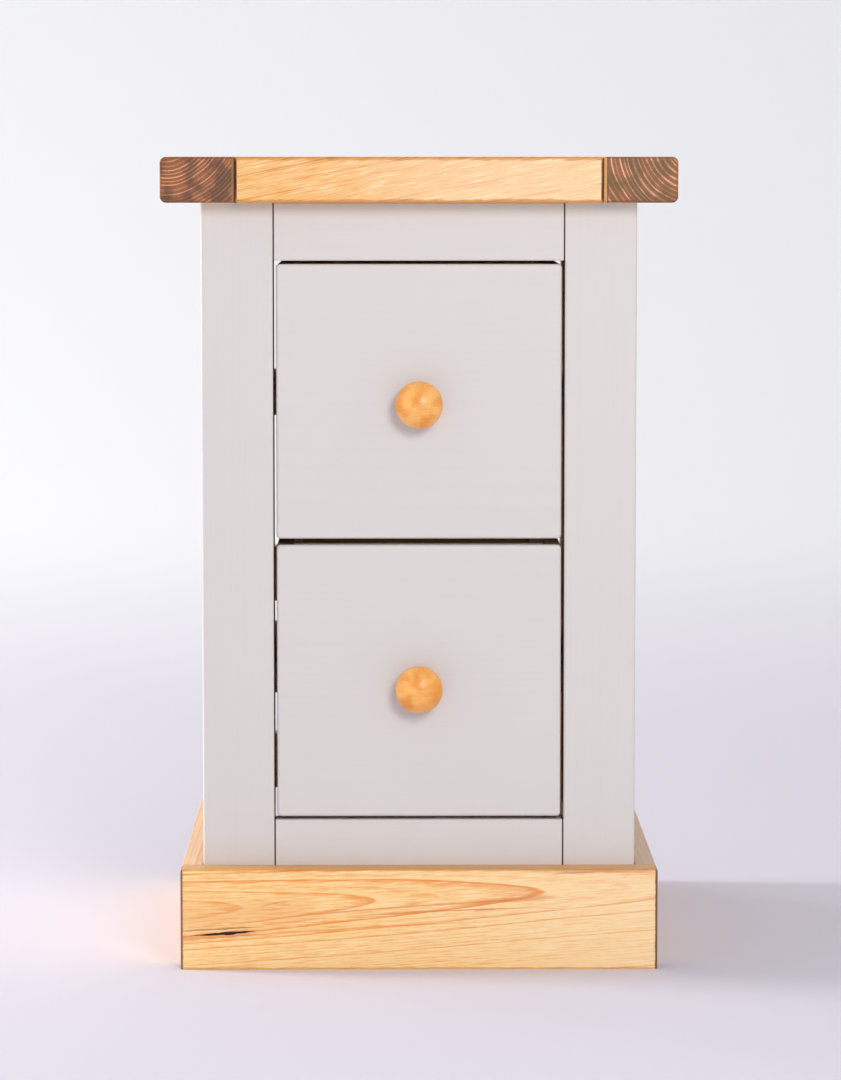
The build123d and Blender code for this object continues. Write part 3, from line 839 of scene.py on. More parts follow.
@dataclass(frozen=True)
class PaintedPine:
    """Pine under brushed satin paint: a smooth warm grey, faint brush lines and grain that shows through."""

    name: str
    wood: Pine
    seams: tuple[Seam, ...] = ()
    chip_mm: Point | None = None
    colour: str = "#DBD7D4"
    shade: str = "#D1CBC7"
    cloud_scale: float = 9.0
    cloud_tone: float = 0.35
    cloud_roughness: float = 0.10
    brush_span: Span = (0.3, 0.75)
    brush_tone: float = 0.09
    ring_tone: float = 0.08
    roughness: float = 0.42
    bare_roughness: float = 0.3
    bump: float = 0.12
    bare_middle_mm: Point = (0.0, 12.0, 283.0)
    bare_half_mm: Point = (142.9, 159.4, 283.6)
    bare_blur_mm: float = 0.2
    lap_mm: float = 1.6
    lap_scale: float = 90.0
    # The dark joint line, which on a stile's inner face beside the drawer gap is painted shade
    dark_joint_and_shade_colour: str = "#453A36"
    dark_joint_and_shade_mm: float = 0.72
    chip_radius_mm: float = 1.1
    wear: float = 0.3
    wear_colour: str = "#D9C8B0"

    def bare(self, recipe: Recipe) -> Node:
        """One inside the carcass, where the brush never went, with a ragged lap line.

        Args:
            recipe: The material under way.

        Returns:
            The node whose first output is the mask.
        """
        put, place = recipe.put, recipe.place
        wander = put(NOISE, named={"Vector": place, "Scale": self.lap_scale, "Detail": 3.0})
        lap = put(TIMES, put(MINUS, wander, 0.5), self.lap_mm * MM)
        x, y, z = depth_in_box(recipe.tree, place, metres(self.bare_middle_mm), metres(self.bare_half_mm))
        least = put(LEAST, put(PLUS, y, lap), put(LEAST, x, z))
        mask = put(SMOOTH, least, 0.0, self.bare_blur_mm * MM)
        if self.chip_mm:
            away = put(PLUS, lap, put(LENGTH, put(VECTOR_MINUS, place, metres(self.chip_mm))))
            reach = self.chip_radius_mm * MM
            mask = put(MOST, mask, put(SMOOTH, away, reach, reach / 2))
        return mask

    def dark_joint_and_shade_mask(self, recipe: Recipe) -> Any:
        """One at the joints with the next boards: a dark line where paint never closes the joint, and painted
        shade in the groove and over a face that stands at the joint, such as a stile's inner face beside the
        drawer gap.

        Args:
            recipe: The material under way.

        Returns:
            The node whose first output is the mask, or zero on a board with no such joint.
        """
        put = recipe.put
        mask: Any = 0.0
        for seam in self.seams:
            along = put(SPLIT_XYZ, recipe.place).outputs[seam.axis]
            away = put(UNSIGNED, put(MINUS, along, seam.place))
            mask = put(MOST, mask, put(SMOOTH, away, self.dark_joint_and_shade_mm * MM, self.dark_joint_and_shade_mm * MM / 2))
        return mask

    def material(self, board: str) -> Material:
        """Makes the material of one board.

        Args:
            board: The CAD node's name.

        Returns:
            The material.
        """
        recipe = Recipe(f"{self.name}.{board}")
        put, pattern = recipe.put, self.wood.pattern(recipe, board)
        named = {"Vector": recipe.place, "Scale": self.cloud_scale, "Detail": 3.0, "Roughness": 0.6}
        cloud = put(NOISE, named=named)
        rings = put(TIMES, pattern["Rings"], self.ring_tone)
        tone = put(TIMES_PLUS, put(SMOOTH, pattern["Fibres"], *self.brush_span), self.brush_tone, rings)
        tone = put(TIMES_PLUS, cloud, self.cloud_tone, tone)
        paint = put(BLEND, tone, linear(self.colour), linear(self.shade))
        # Thin paint lets the wood through on the arrises
        paint = put(BLEND, put(TIMES, pattern["Arris"], self.wear), paint, linear(self.wear_colour))
        # Dark joint lines, with painted shade in the grooves and on the stiles' inner faces beside the drawer
        # gaps
        paint = put(BLEND, self.dark_joint_and_shade_mask(recipe), paint, linear(self.dark_joint_and_shade_colour))
        bare = self.bare(recipe)
        rough = put(TIMES_PLUS, cloud, self.cloud_roughness, self.roughness - self.cloud_roughness / 2)
        inputs = {
            "Base Color": put(BLEND, bare, paint, pattern["Color"]),
            "Roughness": put(TIMES_PLUS, bare, self.bare_roughness, rough),
            "IOR": FINISH_IOR,
        }
        return recipe.finished(inputs, self.bump, 1.0, pattern["Height"])


@dataclass(frozen=True)
class Flecked:
    """An even stuff with flecks or blotches of a second tone, whose size is given in millimetres."""

    name: str
    colour: str
    fleck_colour: str
    fleck_mm: Point
    fleck_span: Span
    detail: float
    roughness: float
    fleck_roughness: float
    metallic: float
    bump: float
    bump_mm: float

    def material(self) -> Material:
        """Makes the material and returns it, with one roughness where the flecks are no duller."""
        recipe = Recipe(self.name)
        put = recipe.put
        scaled = put(VECTOR_TIMES, recipe.place, tuple(1 / (size * MM) for size in self.fleck_mm))
        noise = put(NOISE, named={"Vector": scaled, "Scale": 1.0, "Detail": self.detail})
        fleck = put(SMOOTH, noise, *self.fleck_span)
        rough: Any = self.roughness
        if self.fleck_roughness:
            rough = put(TIMES_PLUS, fleck, self.fleck_roughness, self.roughness)
        inputs = {
            "Base Color": put(BLEND, fleck, linear(self.colour), linear(self.fleck_colour)),
            "Roughness": rough,
            "Metallic": self.metallic,
        }
        return recipe.finished(inputs, self.bump, self.bump_mm, noise)


# Zinc-plated steel: a cool bright metal with a soft, slightly blotched plating
ZINC_PLATE = Flecked("zinc_plated_steel", "#C9CCCB", "#A9A79C", (2.5, 2.5, 2.5), (0.4, 0.7), detail=3.0,
                     roughness=0.34, fleck_roughness=0.16, metallic=1.0, bump=0.2, bump_mm=0.05)
# Turned beech, unfinished: pinkish tan with short dark ray flecks
RAW_BEECH = Flecked("raw_beech", "#D9B48C", "#A97C55", (0.6, 3.0, 0.6), (0.5, 0.7), detail=2.0,
                    roughness=0.7, fleck_roughness=0.0, metallic=0.0, bump=0.4, bump_mm=0.1)


@dataclass(frozen=True)
class SeamlessPaper:
    """Matte seamless paper: pale, with painted shade of a lilac grey near the middle round the cabinet, and
    whiter outwards.
    """

    shaded_near_colour: str = "#DAD5DF"
    far_colour: str = "#F5F5F7"
    far_span: Span = (0.6, 4.0)
    tooth_scale: float = 3.0
    roughness: float = 0.85
    bump: float = 0.1

    def material(self) -> Material:
        """Makes the material."""
        recipe = Recipe("seamless_paper")
        put = recipe.put
        # Painted shade: darker and more lilac near the middle, whiter outwards
        far = put(SMOOTH, put(LENGTH, recipe.place), *self.far_span)
        tooth = put(NOISE, named={"Vector": recipe.place, "Scale": self.tooth_scale, "Detail": 2.0})
        colour = put(BLEND, far, linear(self.shaded_near_colour), linear(self.far_colour))
        return recipe.finished({"Base Color": colour, "Roughness": self.roughness}, self.bump, 1.0, tooth)


@dataclass(frozen=True)
class Slit:
    """A ragged hollow in a front face, between two points given as X and Z in millimetres."""

    start: tuple[float, float]
    end: tuple[float, float]
    thick_mm: float
    deep_mm: float
    seed: int
    steps: int = 18
    lean: float = 1.3
    tip_share: float = 0.08
    mouth_depth: float = 0.25
    floor_width: float = 0.55
    wander_mm: float = 0.15
    proud_mm: float = 1.0

    def cutter(self, face_y: float) -> Piece:
        """Makes the solid that carves the hollow.

        Args:
            face_y: The Y of the face, in metres.

        Returns:
            The cutter, which is thickest in its right half.
        """
        draw = random.Random(self.seed)
        mesh = bpy.data.meshes.new("slit_cutter")
        with reshaping(mesh) as form:
            rows = []
            for index in range(self.steps + 1):
                share = index / self.steps
                swell = math.sin(math.pi * share ** self.lean)
                half = self.thick_mm / 2 * (self.tip_share + swell * draw.uniform(0.6, 1.0))
                x, z = (first + share * (last - first) for first, last in zip(self.start, self.end))
                z += swell * draw.uniform(-self.wander_mm, self.wander_mm)
                deep = self.deep_mm * (self.mouth_depth + (1 - self.mouth_depth) * swell)
                narrow = half * self.floor_width
                corners = ((-self.proud_mm, half), (-self.proud_mm, -half), (deep, -narrow), (deep, narrow))
                row = [(x * MM, face_y + y * MM, (z + rise) * MM) for y, rise in corners]
                rows.append([form.verts.new(corner) for corner in row])
            for first, second in zip(rows, rows[1:]):
                for index in range(4):
                    after = (index + 1) % 4
                    form.faces.new((first[index], second[index], second[after], first[after]))
            form.faces.new(rows[0])
            form.faces.new(rows[-1])
            bmesh.ops.recalc_face_normals(form, faces=form.faces)
        return linked("slit_cutter", mesh)


# Geometry Nodes for what is turned on a lathe or repeats

class TurnedTree(Group):
    """A geometry tree that turns an outline round the Z axis and sets it at points."""

    NAME = ""
    SIZES: dict[str, float] = {}

    def __init__(self) -> None:
        """Builds the tree with its named inputs, of which the sizes can be read in their order."""
        inputs = {"Geometry": "Geometry", **dict.fromkeys(self.SIZES, "Float"), "Sides": "Int", "Seed": "Int",
                  "Material": "Material"}
        super().__init__(self.NAME, "GeometryNodeTree", inputs, {"Geometry": "Geometry"})
        self.at_points(self.form(*(self.read(size) for size in self.SIZES)))

    def lines(self, *points: tuple[Any, Any]) -> list[Node]:
        """Straight stretches of the outline.

        Args:
            *points: The radius and height of each corner in order.

        Returns:
            One curve for each stretch.
        """
        ends = [self.put(JOIN_XYZ, radius, height) for radius, height in points]
        return [self.put("GeometryNodeCurvePrimitiveLine", start, end) for start, end in zip(ends, ends[1:])]

    def turned(self, curves: list[Any]) -> Node:
        """Turns curves round the Z axis into one closed skin.

        Args:
            curves: Curves whose X is the radius and whose Y is the height.

        Returns:
            The mesh.
        """
        put = self.put
        outline = put("GeometryNodeJoinGeometry", curves)
        x, y, _ = put(SPLIT_XYZ, put("GeometryNodeInputPosition")).outputs
        outline = put("GeometryNodeSetCurveRadius", outline, True, x)
        axis = put("GeometryNodeSetPosition", outline, True, put(JOIN_XYZ, 0.0, 0.0, y))
        round_one = put("GeometryNodeCurvePrimitiveCircle", self.read("Sides"), named={"Radius": 1.0})
        skin = put("GeometryNodeCurveToMesh", axis, round_one, put("GeometryNodeInputRadius"))
        return put("GeometryNodeMergeByDistance", skin, True, named={"Distance": WELD_DISTANCE})

    def at_points(self, form: Node) -> None:
        """Sets a form at each point, aimed by the point's attribute and turned at random, and ends the tree.

        Args:
            form: The mesh to repeat, with its point towards +Z.
        """
        put = self.put
        aim = put("GeometryNodeInputNamedAttribute", "aim", data_type="FLOAT_VECTOR")
        aimed = put("FunctionNodeAlignRotationToVector", named={"Vector": aim}, axis="Z")
        angle = put("FunctionNodeRandomValue", 0.0, math.tau, named={"Seed": self.read("Seed")},
                    data_type="FLOAT")
        spin = put("FunctionNodeAxisAngleToRotation", (0.0, 0.0, 1.0), angle)
        turn = put("FunctionNodeRotateRotation", aimed, spin, rotation_space="LOCAL")
        named = {"Instance": form, "Rotation": turn}
        placed = put("GeometryNodeInstanceOnPoints", self.read("Geometry"), named=named)
        whole = put("GeometryNodeRealizeInstances", placed)
        finished = put("GeometryNodeSetMaterial", whole, True, self.read("Material"))
        feed(self.tree, self.result.inputs["Geometry"], finished)

    def build(self, name: str, places: list[tuple[Vector, Vector]], material: Material,
              **inputs: float) -> Piece:
        """Runs the tree once for all of a node's places.

        Args:
            name: The new piece's name.
            places: Where each form's origin goes, and the way that it points.
            material: The finish.
            **inputs: The sides, the seed of the random turns, and sizes that differ from the usual ones.

        Returns:
            The new piece, as plain mesh.
        """
        mesh = bpy.data.meshes.new(name)
        mesh.from_pydata([origin for origin, aim in places], [], [])
        aims = mesh.attributes.new("aim", "FLOAT_VECTOR", "POINT")
        for index, (origin, aim) in enumerate(places):
            aims.data[index].vector = aim
        piece = linked(name, mesh)
        modifier = piece.modifiers.new("turned", "NODES")
        modifier.node_group = self.tree
        values = {**self.SIZES, **inputs, "Material": material}
        for item in self.tree.interface.items_tree:
            if item.in_out == "INPUT" and item.name in values:
                modifier[item.identifier] = values[item.name]
        applied(piece)
        return piece


class ScrewTree(TurnedTree):
    """A countersunk wood screw with a cross recess and a thread."""

    NAME = "wood_screw"
    SIZES = {
        "Length": 0.030,
        "Head Radius": 0.004,
        "Head Depth": 0.002,
        "Head Hollow": 0.00004,
        "Shank Radius": 0.00165,
        "Point Length": 0.004,
        "Thread Pitch": 0.0018,
        "Thread Height": 0.00045,
        "Recess Length": 0.0046,
        "Recess Width": 0.0009,
        "Recess Depth": 0.0022,
    }
    SMOOTH_SHANK_SHARE = 0.35
    STEPS_PER_TURN = 12
    THREAD_SIDES = 3

    def form(self, length: Any, head: Any, depth: Any, hollow: Any, shank: Any, point: Any, pitch: Any,
             ridge: Any, *recess: Any) -> Node:
        """Makes the screw.

        Args:
            length, head, depth, hollow, shank, point, pitch, ridge, *recess: The inputs that SIZES names.

        Returns:
            Its mesh.
        """
        put = self.put
        shank_end = put(MINUS, length, point)
        corners = ((0.0, hollow), (head, 0.0), (shank, depth), (shank, shank_end), (0.0, length))
        bar = put("GeometryNodeMeshCube", put(JOIN_XYZ, *recess))
        quarter = put("FunctionNodeAxisAngleToRotation", (0.0, 0.0, 1.0), math.pi / 2)
        crossed = put("GeometryNodeTransform", bar, named={"Rotation": quarter})
        body = put("GeometryNodeMeshBoolean", self.turned(self.lines(*corners)), [bar, crossed],
                   operation="DIFFERENCE", solver="EXACT")
        start = put(TIMES, shank_end, self.SMOOTH_SHANK_SHARE)
        height = put(MINUS, shank_end, start)
        turns = put(OVER, height, pitch)
        spiral = put("GeometryNodeCurveSpiral", self.STEPS_PER_TURN, turns, shank, shank, height)
        section = put("GeometryNodeCurvePrimitiveCircle", self.THREAD_SIDES, named={"Radius": ridge})
        thread = put("GeometryNodeCurveToMesh", spiral, section, named={"Fill Caps": True})
        lift = put(JOIN_XYZ, 0.0, 0.0, start)
        thread = put("GeometryNodeTransform", thread, named={"Translation": lift})
        return put("GeometryNodeJoinGeometry", [body, thread])


class DowelTree(TurnedTree):
    """A fluted dowel with chamfered ends."""

    NAME = "fluted_dowel"
    SIZES = {
        "Length": 0.030,
        "Radius": 0.004,
        "End Chamfer": 0.0008,
        "End Hollow": 0.00004,
        "Flute Count": 12.0,
        "Flute Depth": 0.00035,
    }

    def form(self, length: Any, radius: Any, chamfer: Any, hollow: Any, count: Any, depth: Any) -> Node:
        """Makes the dowel.

        Args:
            length, radius, chamfer, hollow, count, depth: The inputs that SIZES names.

        Returns:
            Its mesh.
        """
        put = self.put
        half = put(TIMES, length, 0.5)
        shoulder, tip = put(MINUS, half, chamfer), put(MINUS, half, hollow)
        small = put(MINUS, radius, chamfer)
        ends = ((0.0, tip), (small, half), (radius, shoulder))
        below = [(out, put(TIMES, height, -1.0)) for out, height in ends]
        body = self.turned(self.lines(*below, *reversed(ends)))
        x, y, _ = put(SPLIT_XYZ, put("GeometryNodeInputPosition")).outputs
        wave = put(COSINE, put(TIMES, put(ARCTAN2, y, x), count))
        press = put(TIMES, put(TIMES_PLUS, wave, 0.5, 0.5), depth)
        outward = put("ShaderNodeVectorMath", put(JOIN_XYZ, x, y), operation="NORMALIZE")
        outward = put("ShaderNodeVectorMath", outward, named={"Scale": press}, operation="SCALE")
        inward = put(VECTOR_TIMES, outward, (-1.0, -1.0, -1.0))
        return put("GeometryNodeSetPosition", body, True, named={"Offset": inward})


class KnobTree(TurnedTree):
    """A turned knob: a shallow dome, a full round rim, a cove and a foot with a screw bore."""

    NAME = "turned_knob"
    SIZES = {
        "Rim Outer Radius": 0.0175,
        "Projection": 0.028,
        "Rim Distance": 0.015,
        "Rim Round": 0.007,
        "Back Angle": math.radians(50.0),
        "Cove Radius": 0.0068,
        "Cove Height": 0.0034,
        "Foot Radius": 0.010,
        "Bore Radius": 0.0021,
        "Bore Depth": 0.0142,
        "Bore Mouth": 0.0003,
    }
    ARC_STEPS = 28

    def form(self, outer: Any, projection: Any, rim_y: Any, rim_round: Any, back: Any, cove_radius: Any,
             cove_height: Any, foot: Any, bore: Any, bore_depth: Any, bore_mouth: Any) -> Node:
        """Makes the knob.

        Args:
            outer, projection, rim_y, rim_round, back, cove_radius, cove_height, foot, bore, bore_depth,
                bore_mouth: The inputs that SIZES names.

        Returns:
            Its mesh.
        """
        put, steps = self.put, self.ARC_STEPS
        rim_x = put(MINUS, outer, rim_round)
        # The dome's radius, its middle and the angle where it meets the rim without a corner
        rise = put(MINUS, projection, rim_y)
        squares = put(TIMES_PLUS, rim_x, rim_x, put(TIMES, rise, rise))
        squares = put(MINUS, squares, put(TIMES, rim_round, rim_round))
        dome_radius = put(OVER, squares, put(TIMES, put(MINUS, rise, rim_round), 2.0))
        middle = put(MINUS, projection, dome_radius)
        meet = put(ARCTAN2, put(MINUS, rim_y, middle), rim_x)
        dome = put("GeometryNodeCurveArc", steps, dome_radius, math.pi / 2, put(MINUS, meet, math.pi / 2))
        dome = put("GeometryNodeTransform", dome, named={"Translation": put(JOIN_XYZ, 0.0, middle)})
        sweep = put(TIMES, put(PLUS, meet, back), -1.0)
        rim = put("GeometryNodeCurveArc", steps, rim_round, meet, sweep)
        rim = put("GeometryNodeTransform", rim, named={"Translation": put(JOIN_XYZ, rim_x, rim_y)})
        back_x = put(TIMES_PLUS, put(COSINE, back), rim_round, rim_x)
        back_y = put(MINUS, rim_y, put(TIMES, put(SINE, back), rim_round))
        cove = put("GeometryNodeCurveQuadraticBezier", steps, put(JOIN_XYZ, back_x, back_y),
                   put(JOIN_XYZ, cove_radius, cove_height), put(JOIN_XYZ, foot, 0.0))
        corners = ((foot, 0.0), (bore, bore_mouth), (bore, bore_depth), (0.0, put(PLUS, bore_depth, bore)))
        return self.turned([dome, rim, cove, *self.lines(*corners)])


knob_tree = KnobTree()


@dataclass(frozen=True)
class Fastener:
    """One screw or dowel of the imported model: its middle, the way that it points, and its length."""

    middle: Vector
    aim: Vector
    length: float

    @property
    def head(self) -> Vector:
        """The middle of the end that is driven."""
        return self.middle - self.aim * self.length / 2


def islands(form: bmesh.types.BMesh) -> list[list[Vector]]:
    """Sorts a mesh into its separate solids.

    Args:
        form: The mesh, with its doubles merged.

    Returns:
        The points of each solid.
    """
    seen: set[bmesh.types.BMVert] = set()
    found = []
    for start in form.verts:
        if start in seen:
            continue
        island, waiting = [], [start]
        seen.add(start)
        while waiting:
            vert = waiting.pop()
            island.append(vert.co.copy())
            others = {edge.other_vert(vert) for edge in vert.link_edges} - seen
            seen |= others
            waiting.extend(others)
        found.append(island)
    return found


def fasteners(node: str) -> list[Fastener]:
    """Finds a node's screws or dowels.

    Args:
        node: The CAD node, whose solids are all alike and lie along X, Y or Z.

    Returns:
        Its fasteners, in the order of their places.
    """
    form = bmesh.new()
    form.from_mesh(frame["nodes"][node].data)
    bmesh.ops.remove_doubles(form, verts=form.verts, dist=WELD_DISTANCE)
    found = []
    for points in islands(form):
        low, high = (Vector([end(point[i] for point in points) for i in range(3)]) for end in (min, max))
        middle, size = (low + high) / 2, high - low
        axis = max(range(3), key=lambda i: size[i])
        aim = Vector([float(i == axis) for i in range(3)])
        # The head is the end whose points lie further from the axis
        reach = {-1: 0.0, 1: 0.0}
        for offset in (point - middle for point in points):
            along = offset.dot(aim)
            if abs(along) > END_SHARE * size[axis] / 2:
                sign = 1 if along > 0 else -1
                reach[sign] = max(reach[sign], (offset - aim * along).length)
        found.append(Fastener(middle, -aim if reach[1] > reach[-1] else aim, size[axis]))
    form.free()
    return sorted(found, key=lambda item: tuple(round(value, 5) for value in item.middle))


# The cabinet's sub-assemblies

@dataclass
class Top:
    """The thick top: three boards across, clamped between two boards whose end grain faces the front."""

    boards: tuple[Pine, ...] = (
        Pine("waxed_pine_top_front", Grain.ACROSS, (0.0, -150.0, 500.0), lean=(2.0, 12.0), ring_mm=1.9,
             waviness_mm=7.0, late=0.52, fibres=1.15, early_colour="#F6C076", late_colour="#E68E38",
             pale_span_mm=(-120.0, 60.0), arris_colour="#DC923A", arris=0.85, arris_mm=3.2),
        Pine("waxed_pine_top_middle", Grain.ACROSS, (60.0, 10.0, 545.0), lean=(0.6, 1.4), ring_mm=3.4),
        Pine("waxed_pine_top_rear", Grain.ACROSS, (-80.0, 150.0, 700.0), lean=(-0.8, 1.0), ring_mm=2.8),
    )
    ends: tuple[FlawedPine, ...] = (
        FlawedPine("waxed_pine_top_end_left", Grain.DEEP, (-186.0, -187.0, 623.0), lean=(0.8, 0.6),
                   ring_mm=2.7, waviness_mm=4.0, end_colour="#96582E", patch_colour="#643E26",
                   arc_colour="#E29C6C", arcs=1.2, arris_colour="#80482A",
                   marks=(Band(0, -136.6, -135.0, "#94703C", 0.7), Band(0, -135.0, -133.4, "#3A2416", 0.85))),
        FlawedPine("waxed_pine_top_end_right", Grain.DEEP, (200.0, -187.0, 609.0), lean=(-0.7, 0.8),
                   ring_mm=3.4, waviness_mm=4.0, end_colour="#985A2C", patch_colour="#745020",
                   arc_colour="#F0B48C", arcs=1.1, arris_colour="#8A4C2C",
                   marks=(Band(0, 133.2, 134.7, "#5A3A22", 0.85), Band(0, 134.7, 137.0, "#DDA45A", 0.8),
                          Band(0, 137.0, 137.7, "#4A2E1E", 0.8))),
    )

    def build(self) -> None:
        """Dresses every board of the top."""
        for place, finish in zip(("front", "middle", "rear"), self.boards):
            dress(f"top_board_{place}", finish)
        for side, finish in zip(Side, self.ends):
            dress(f"top_end_{side.value}", finish)


@dataclass
class Carcass:
    """The painted frames and sides, with the raw battens inside."""

    upright: Pine = Pine("pine_under_paint", Grain.UPRIGHT, (30.0, -120.0, 300.0), lean=(0.5, 0.4),
                         ring_mm=4.0, **UNDER_PAINT)
    across: Pine = Pine("pine_under_paint", Grain.ACROSS, (0.0, -120.0, 260.0), lean=(0.5, 0.6),
                        ring_mm=4.0, **UNDER_PAINT)
    batten: Pine = Pine("raw_pine", Grain.DEEP, (60.0, 0.0, 300.0), lean=(0.4, 0.3), **RAW)
    chip_mm: Point = (160.4, -164.9, 418.6)
    chipped: str = "front_stile_right"

    def build(self) -> None:
        """Dresses the carcass."""
        for side in Side:
            self.side_boards(side)
            for board in ("top_cleat", "runner_upper", "runner_lower"):
                dress(f"{board}_{side.value}", self.batten)
        self.face_frame("front", "top", "bottom")
        self.face_frame("rear", "top", "middle", "bottom")

    def face_frame(self, name: str, *rails: str) -> None:
        """Dresses the stiles and rails of one frame, with a dark joint line where they meet and painted shade
        on the stiles' inner faces.

        Args:
            name: The frame's name.
            *rails: The names of its rails.
        """
        boards = [f"{name}_stile_{side.value}" for side in Side]
        seams = [Seam(0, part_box(board)[inner].x) for board, inner in zip(boards, (1, 0))]
        for board, seam in zip(boards, seams):
            chip = self.chip_mm if board == self.chipped else None
            dress(board, PaintedPine("satin_grey_paint_upright", self.upright, (seam,), chip))
        for rail in rails:
            dress(f"{name}_{rail}_rail", PaintedPine("satin_grey_paint_across", self.across, tuple(seams)))

    def side_boards(self, side: Side) -> None:
        """Dresses the three boards of one side, whose seams divide it evenly from frame to frame.

        Args:
            side: The side.
        """
        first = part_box(f"front_stile_{side.value}")[1].y
        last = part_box(f"rear_stile_{side.value}")[0].y
        places = ("front", "middle", "rear")
        step = (last - first) / len(places)
        for index, place in enumerate(places):
            seams = (Seam(1, first + index * step), Seam(1, first + (index + 1) * step))
            dress(f"side_board_{side.value}_{place}",
                  PaintedPine("satin_grey_paint_upright", self.upright, seams))


@dataclass
class Plinth:
    """The waxed plinth: a front board with a bark pocket, and two side boards."""

    front: FlawedPine = FlawedPine(
        "waxed_pine_plinth_front", Grain.ACROSS, (140.0, -158.0, 62.0), lean=(2.4, 3.0), ring_mm=1.9,
        late=0.72, fibres=0.85, early_colour="#FFD998", late_colour="#F59A3C", resin_colour="#E48C3A",
        pale_colour="#FFE6BE", arris_mm=1.8, bark=Bark((-174.4, -184.98, 18.0), (-116.0, -182.0, 36.0)),
        marks=(
            Stain((-200.0, 38.0), (-60.0, 44.0), 16.0, 0.28, "#EC8E3C"),
            Stain((-120.0, 37.4), (112.0, 54.0), 0.8, 0.7, "#E0803C", 1.6),
            Stain((34.0, 48.6), (108.0, 54.4), 2.6, 0.6, "#E2884A"),
            Stain((-60.0, 39.6), (90.0, 46.2), 0.8, 0.7, "#DB7A3E"),
            Stain((-190.0, 21.0), (60.0, 36.6), 0.8, 0.6, "#E8883A", 1.0),
            Stain((40.0, 43.6), (58.0, 44.4), 0.9, 0.4, "#B0603A"),
            Stain((-118.0, 46.6), (-96.0, 51.0), 0.6, 0.5, "#C8702C"),
            Stain((92.0, 71.4), (188.0, 73.6), 1.4, 0.6, "#BC7848"),
            Stain((-190.0, 22.2), (-110.0, 27.0), 2.6, 0.55, "#E0702C"),
            Stain((-184.0, 28.0), (-114.0, 31.8), 0.8, 0.6, "#A85E2C"),
            Band(0, -178.0, -175.0, "#7C5228", 0.85),
            Band(0, 174.9, 178.0, "#6E4A22", 0.85),
            # Painted shade on the top face, which the carcass above keeps from much of the light
            Band(2, 74.5, 78.0, "#CC8A2C", 0.8),
        ),
    )
    sides: tuple[FlawedPine, ...] = (
        # The bands along the side boards' top faces are painted shade
        FlawedPine("waxed_pine_plinth_left", Grain.DEEP, (-120.0, 0.0, 60.0), lean=(0.6, 0.8), ring_mm=3.2,
                   marks=(Band(2, 74.5, 78.0, "#C49A78", 0.5),)),
        FlawedPine("waxed_pine_plinth_right", Grain.DEEP, (230.0, 0.0, 30.0), lean=(0.8, -0.6), ring_mm=3.2,
                   marks=(Band(2, 74.5, 78.0, "#A07450", 0.6),)),
    )
    slits: tuple[Slit, ...] = (
        Slit((-170.0, 25.2), (-121.0, 28.7), 3.2, 1.9, seed=5),
        Slit((-173.6, 28.4), (-123.4, 31.7), 0.6, 0.15, seed=6),
    )

    def build(self) -> None:
        """Carves and dresses the plinth."""
        front = merged_copy("plinth_front", "plinth_front_with_bark_pocket")
        cutters = [slit.cutter(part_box("plinth_front")[0].y) for slit in self.slits]
        for cutter in cutters:
            carve = front.modifiers.new("carve", "BOOLEAN")
            carve.operation = "DIFFERENCE"
            carve.solver = "EXACT"
            carve.object = cutter
        applied(front)
        for cutter in cutters:
            bpy.data.objects.remove(cutter)
        front.data.materials.clear()
        front.data.materials.append(self.front.material("plinth_front"))
        install(front, "cabinet", "plinth_pine", "plinth_front")
        for side, finish in zip(Side, self.sides):
            dress(f"plinth_side_{side.value}", finish)


@dataclass
class Drawer:
    """One drawer: a painted front, a raw box and a turned knob."""

    name: str
    seed: int
    knob_sides: int = 96
    front: Pine = Pine("pine_under_paint", Grain.ACROSS, (20.0, -100.0, 330.0), lean=(0.4, 0.5), ring_mm=4.5,
                       **UNDER_PAINT)
    raw: Pine = Pine("raw_pine", Grain.DEEP, (40.0, 0.0, 380.0), lean=(0.5, 0.4), **RAW)
    raw_across: Pine = Pine("raw_pine", Grain.ACROSS, (0.0, 100.0, 280.0), lean=(0.5, 0.7), **RAW)
    panel: Plywood = Plywood("raw_birch_plywood", Grain.ACROSS, (0.0, 400.0, 900.0), lean=(1.0, 1.0),
                             ring_mm=14.0, waviness_mm=60.0, late=0.35, early_colour="#E6CDA6",
                             late_colour="#CBA574", end_colour="#B08A5E", arc_colour="#8C6A48", arris=0.0,
                             roughness=0.7, coat=0.0)
    # Turned pine under clear varnish: a deep, even honey colour with a soft round highlight
    knob: Pine = Pine("varnished_turned_pine", Grain.DEEP, (6.0, -172.0, 380.0), lean=(3.0, 4.0), ring_mm=2.4,
                      waviness_mm=3.0, late=0.35, fibres=0.3, flecks=0.6, early_colour="#F2A23A",
                      late_colour="#D9862A", pale_colour="#F8BE6A", pale_span_mm=(900.0, 901.0),
                      end_colour="#FFBA60", patch_colour="#F0982C", arc_colour="#FFCC84", arcs=0.35,
                      pores=0.2, arris=0.0, roughness=0.4, bump=0.2, coat=0.7, coat_roughness=0.32)

    def build(self) -> None:
        """Dresses the drawer and turns its knob."""
        name, knob = self.name, f"{self.name}_knob"
        dress(f"{name}_front", PaintedPine("satin_grey_paint_drawer", self.front))
        for side in Side:
            dress(f"{name}_side_{side.value}", self.raw)
        dress(f"{name}_back", self.raw_across)
        dress(f"{name}_bottom", self.panel)
        low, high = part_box(knob)
        place = Vector((0.0, high.y, (low.z + high.z) / 2))
        piece = knob_tree.build(f"{name}_turned_knob", [(place, Vector((0.0, -1.0, 0.0)))],
                                self.knob.material(knob), Sides=self.knob_sides, Seed=self.seed)
        piece.data.shade_smooth()
        install(piece, name, "turned_knob", knob)


